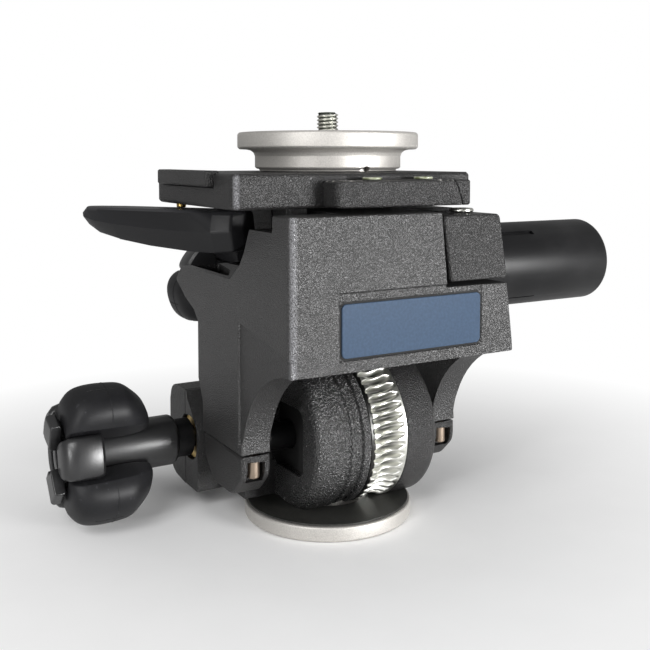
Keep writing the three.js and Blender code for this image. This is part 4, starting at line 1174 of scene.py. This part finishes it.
class DressNameplate(bpy.types.Operator):
    """Lays the bare blue-grey plate in its recess, ringed by a strip of painted shade for the gap."""

    bl_idname = "tripod_head.dress_nameplate"
    bl_label = "Nameplate"

    def execute(self, context):
        work = bmesh.new()
        radius, steps = 2 * MM, 8
        chamfer, gap = 0.15 * MM, 0.85 * MM
        corners = [(LABEL_HIGH.x, LABEL_HIGH.z, 0), (LABEL_LOW.x, LABEL_HIGH.z, 90),
                   (LABEL_LOW.x, LABEL_LOW.z, 180), (LABEL_HIGH.x, LABEL_LOW.z, 270)]

        def outline(inset, y):
            """The plate's rounded outline, drawn in or let out, at a depth."""
            ring = []
            for x, z, start in corners:
                cx = x - math.copysign(radius, x - (LABEL_LOW.x + LABEL_HIGH.x) / 2)
                cz = z - math.copysign(radius, z - (LABEL_LOW.z + LABEL_HIGH.z) / 2)
                for step in range(steps + 1):
                    angle = math.radians(start + 90 * step / steps)
                    ring.append(Vector((cx + (radius - inset) * math.cos(angle), y,
                                        cz + (radius - inset) * math.sin(angle))))
            return ring

        front = LABEL_LOW.y
        skin(work, [outline(0, LABEL_HIGH.y), outline(0, front + chamfer), outline(chamfer, front)])
        add_piece("nameplate_fine", work, "nameplate")
        surround = bmesh.new()
        # painted shade: a black strip behind the plate's edge stands for the gap round it
        skin(surround, [outline(-gap, LABEL_HIGH.y + 0.22 * MM), outline(-gap, LABEL_HIGH.y + 0.05 * MM)])
        add_piece("nameplate_gap", surround, "nameplate", finish_for("slit"), replaces=False)
        return {"FINISHED"}


class DressLever(bpy.types.Operator):
    """Rounds the release lever's paddle."""

    bl_idname = "tripod_head.dress_lever"
    bl_label = "Release lever"

    def execute(self, context):
        eased_copy("release_lever", 0.8 * MM, lever_black(), segments=3, sharp_degrees=24)
        return {"FINISHED"}


class DressSmallParts(bpy.types.Operator):
    """Gives the shafts, screws, pins and windows their finishes."""

    bl_idname = "tripod_head.dress_small_parts"
    bl_label = "Screws, shafts and pins"

    def execute(self, context):
        for node in ("pan_post", "pan_wheel", "pan_worm", "tilt_worm"):
            NODES[node].data.materials.clear()
            NODES[node].data.materials.append(finish_for(SLOT_OF[node]))
        for node in ("pan_shaft_bush", "lever_screw", "safety_catch", "corner_cover_screw",
                     "level_vial_1", "level_vial_2", *(f"gearbox_screw_{i}" for i in range(1, 5))):
            eased_copy(node, SMALL_ROUNDING)
        for side in ("left", "right"):
            eased_copy(f"trunnion_{side}", SMALL_ROUNDING, finish_for("tube_black"))
            eased_copy(f"ear_screw_{side}_front", SMALL_ROUNDING, finish_for("bronze"))
        return {"FINISHED"}


FLOOR_SIZE = 4.0
FLOOR_DROP = 0.3 * MM
GLOW_START = 0.08  # how far out the floor starts to turn white for the camera
GLOW_FULL = 0.31  # and is white
LAMP_AIM = Vector((0, 0, 0.09))
LAMPS = {
    # place and width in metres
    "top": ((-0.8, -0.6, 0.85), 0.55),
    "front": ((0.46, -0.97, 0.13), 0.36),
    "edge": ((-0.9, -0.46, 0.25), 0.12),
}
CAMERA_X = -201.4 * MM
CAMERA_Y = -346.4 * MM


class MakeStage(bpy.types.Operator):
    """Lays the floor and sets the lamps, the world and the camera."""

    bl_idname = "tripod_head.make_stage"
    bl_label = "Stage"

    def execute(self, context):
        settings = context.scene.head_stage
        self.floor(settings)
        self.world(context, settings)
        for name, (place, size) in LAMPS.items():
            self.lamp(f"{name}_lamp", place, size, getattr(settings, name))
        self.camera(context, settings)
        context.scene.view_settings.view_transform = "Standard"
        return {"FINISHED"}

    def floor(self, settings):
        """A pale floor that keeps the head's shadow and turns plain white further out."""
        shader = Shader("pale_floor")
        speckle = shader.noise(40, 2.0)
        colour = shader.mix(speckle.between(0.3, 0.8), settings.floor[:], shade(settings.floor, 1.03))
        shader.set(Base_Color=colour, Roughness=0.85)
        paths = shader.add("ShaderNodeLightPath", {}, {}, "Is Camera Ray")
        away = shader.vector("LENGTH", shader.place, output="Value")
        glow = shader.add("ShaderNodeEmission", {}, {"Color": WHITE, "Strength": 1.0})
        lit = Value(shader, shader.surface.outputs[0])
        white = paths * away.between(GLOW_START, GLOW_FULL)
        mixed = shader.add("ShaderNodeMixShader", {}, {0: white, 1: lit, 2: glow})
        shader.join(shader.tree.nodes["Material Output"].inputs["Surface"], mixed)
        work = bmesh.new()
        bmesh.ops.create_grid(work, x_segments=2, y_segments=2, size=FLOOR_SIZE)
        floor = new_object("floor", work, shader.material)
        floor.location.z = -FLOOR_DROP

    def world(self, context, settings):
        """Even soft light all round, and plain white where the camera sees past the floor."""
        world = bpy.data.worlds.new("studio")
        context.scene.world = world
        world.use_nodes = True
        nodes = Nodes(world.node_tree)
        soft = nodes.add("ShaderNodeBackground", {}, {"Color": WHITE, "Strength": settings.sky})
        seen = nodes.add("ShaderNodeBackground", {}, {"Color": WHITE, "Strength": 1.0})
        from_camera = nodes.add("ShaderNodeLightPath", {}, {}, "Is Camera Ray")
        mixed = nodes.add("ShaderNodeMixShader", {}, {0: from_camera, 1: soft, 2: seen})
        nodes.join(world.node_tree.nodes["World Output"].inputs["Surface"], mixed)

    def lamp(self, name, place, size, power):
        """A square soft lamp that looks at the middle of the head."""
        data = bpy.data.lights.new(name, "AREA")
        data.size, data.energy = size, power
        lamp = bpy.data.objects.new(name, data)
        lamp.location = place
        lamp.rotation_euler = (LAMP_AIM - Vector(place)).to_track_quat("-Z", "Y").to_euler()
        bpy.context.scene.collection.objects.link(lamp)

    def camera(self, context, settings):
        """The photograph's horizon stands high: part of that is pitch and the rest is shift."""
        data = bpy.data.cameras.new("camera")
        data.lens = settings.lens
        data.shift_y = settings.camera_shift
        camera = bpy.data.objects.new("camera", data)
        camera.location = (CAMERA_X, CAMERA_Y, settings.camera_height)
        level = Vector((math.sin(settings.camera_turn), math.cos(settings.camera_turn), 0))
        ahead = level * math.cos(settings.camera_pitch) - Vector((0, 0, math.sin(settings.camera_pitch)))
        camera.rotation_euler = ahead.to_track_quat("-Z", "Y").to_euler()
        context.scene.collection.objects.link(camera)
        context.scene.camera = camera


OPERATORS = (DressPlateAndBase, DressStud, DressCastings, DressDrum, DressRingGear, DressKnobs, DressTube,
             DressNameplate, DressLever, DressSmallParts, MakeStage)


class HeadPanel(bpy.types.Panel):
    """Lists the head's steps and settings in the sidebar."""

    bl_idname = "VIEW3D_PT_tripod_head"
    bl_label = "Geared tripod head"
    bl_space_type = "VIEW_3D"
    bl_region_type = "UI"
    bl_category = "Tripod head"

    def draw(self, context):
        for operator in OPERATORS:
            self.layout.operator(operator.bl_idname)
        for group in (context.scene.head_sizes, context.scene.head_colours, context.scene.head_stage):
            for name in group.bl_rna.properties.keys():
                if name not in ("rna_type", "name"):
                    self.layout.prop(group, name)


CLASSES = (HeadSizes, HeadColours, StageSettings, *OPERATORS, HeadPanel)


def register():
    for cls in CLASSES:
        bpy.utils.register_class(cls)
    bpy.types.Scene.head_sizes = bpy.props.PointerProperty(type=HeadSizes)
    bpy.types.Scene.head_colours = bpy.props.PointerProperty(type=HeadColours)
    bpy.types.Scene.head_stage = bpy.props.PointerProperty(type=StageSettings)


def unregister():
    del bpy.types.Scene.head_sizes
    del bpy.types.Scene.head_colours
    del bpy.types.Scene.head_stage
    for cls in reversed(CLASSES):
        bpy.utils.unregister_class(cls)


def main():
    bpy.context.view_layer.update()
    register()
    steps = bpy.ops.tripod_head
    steps.dress_plate_and_base()
    steps.dress_stud()
    steps.dress_castings()
    steps.dress_drum()
    steps.dress_ring_gear()
    steps.dress_knobs()
    steps.dress_tube()
    steps.dress_nameplate()
    steps.dress_lever()
    steps.dress_small_parts()
    steps.make_stage()


if __name__ == "__main__":
    main()
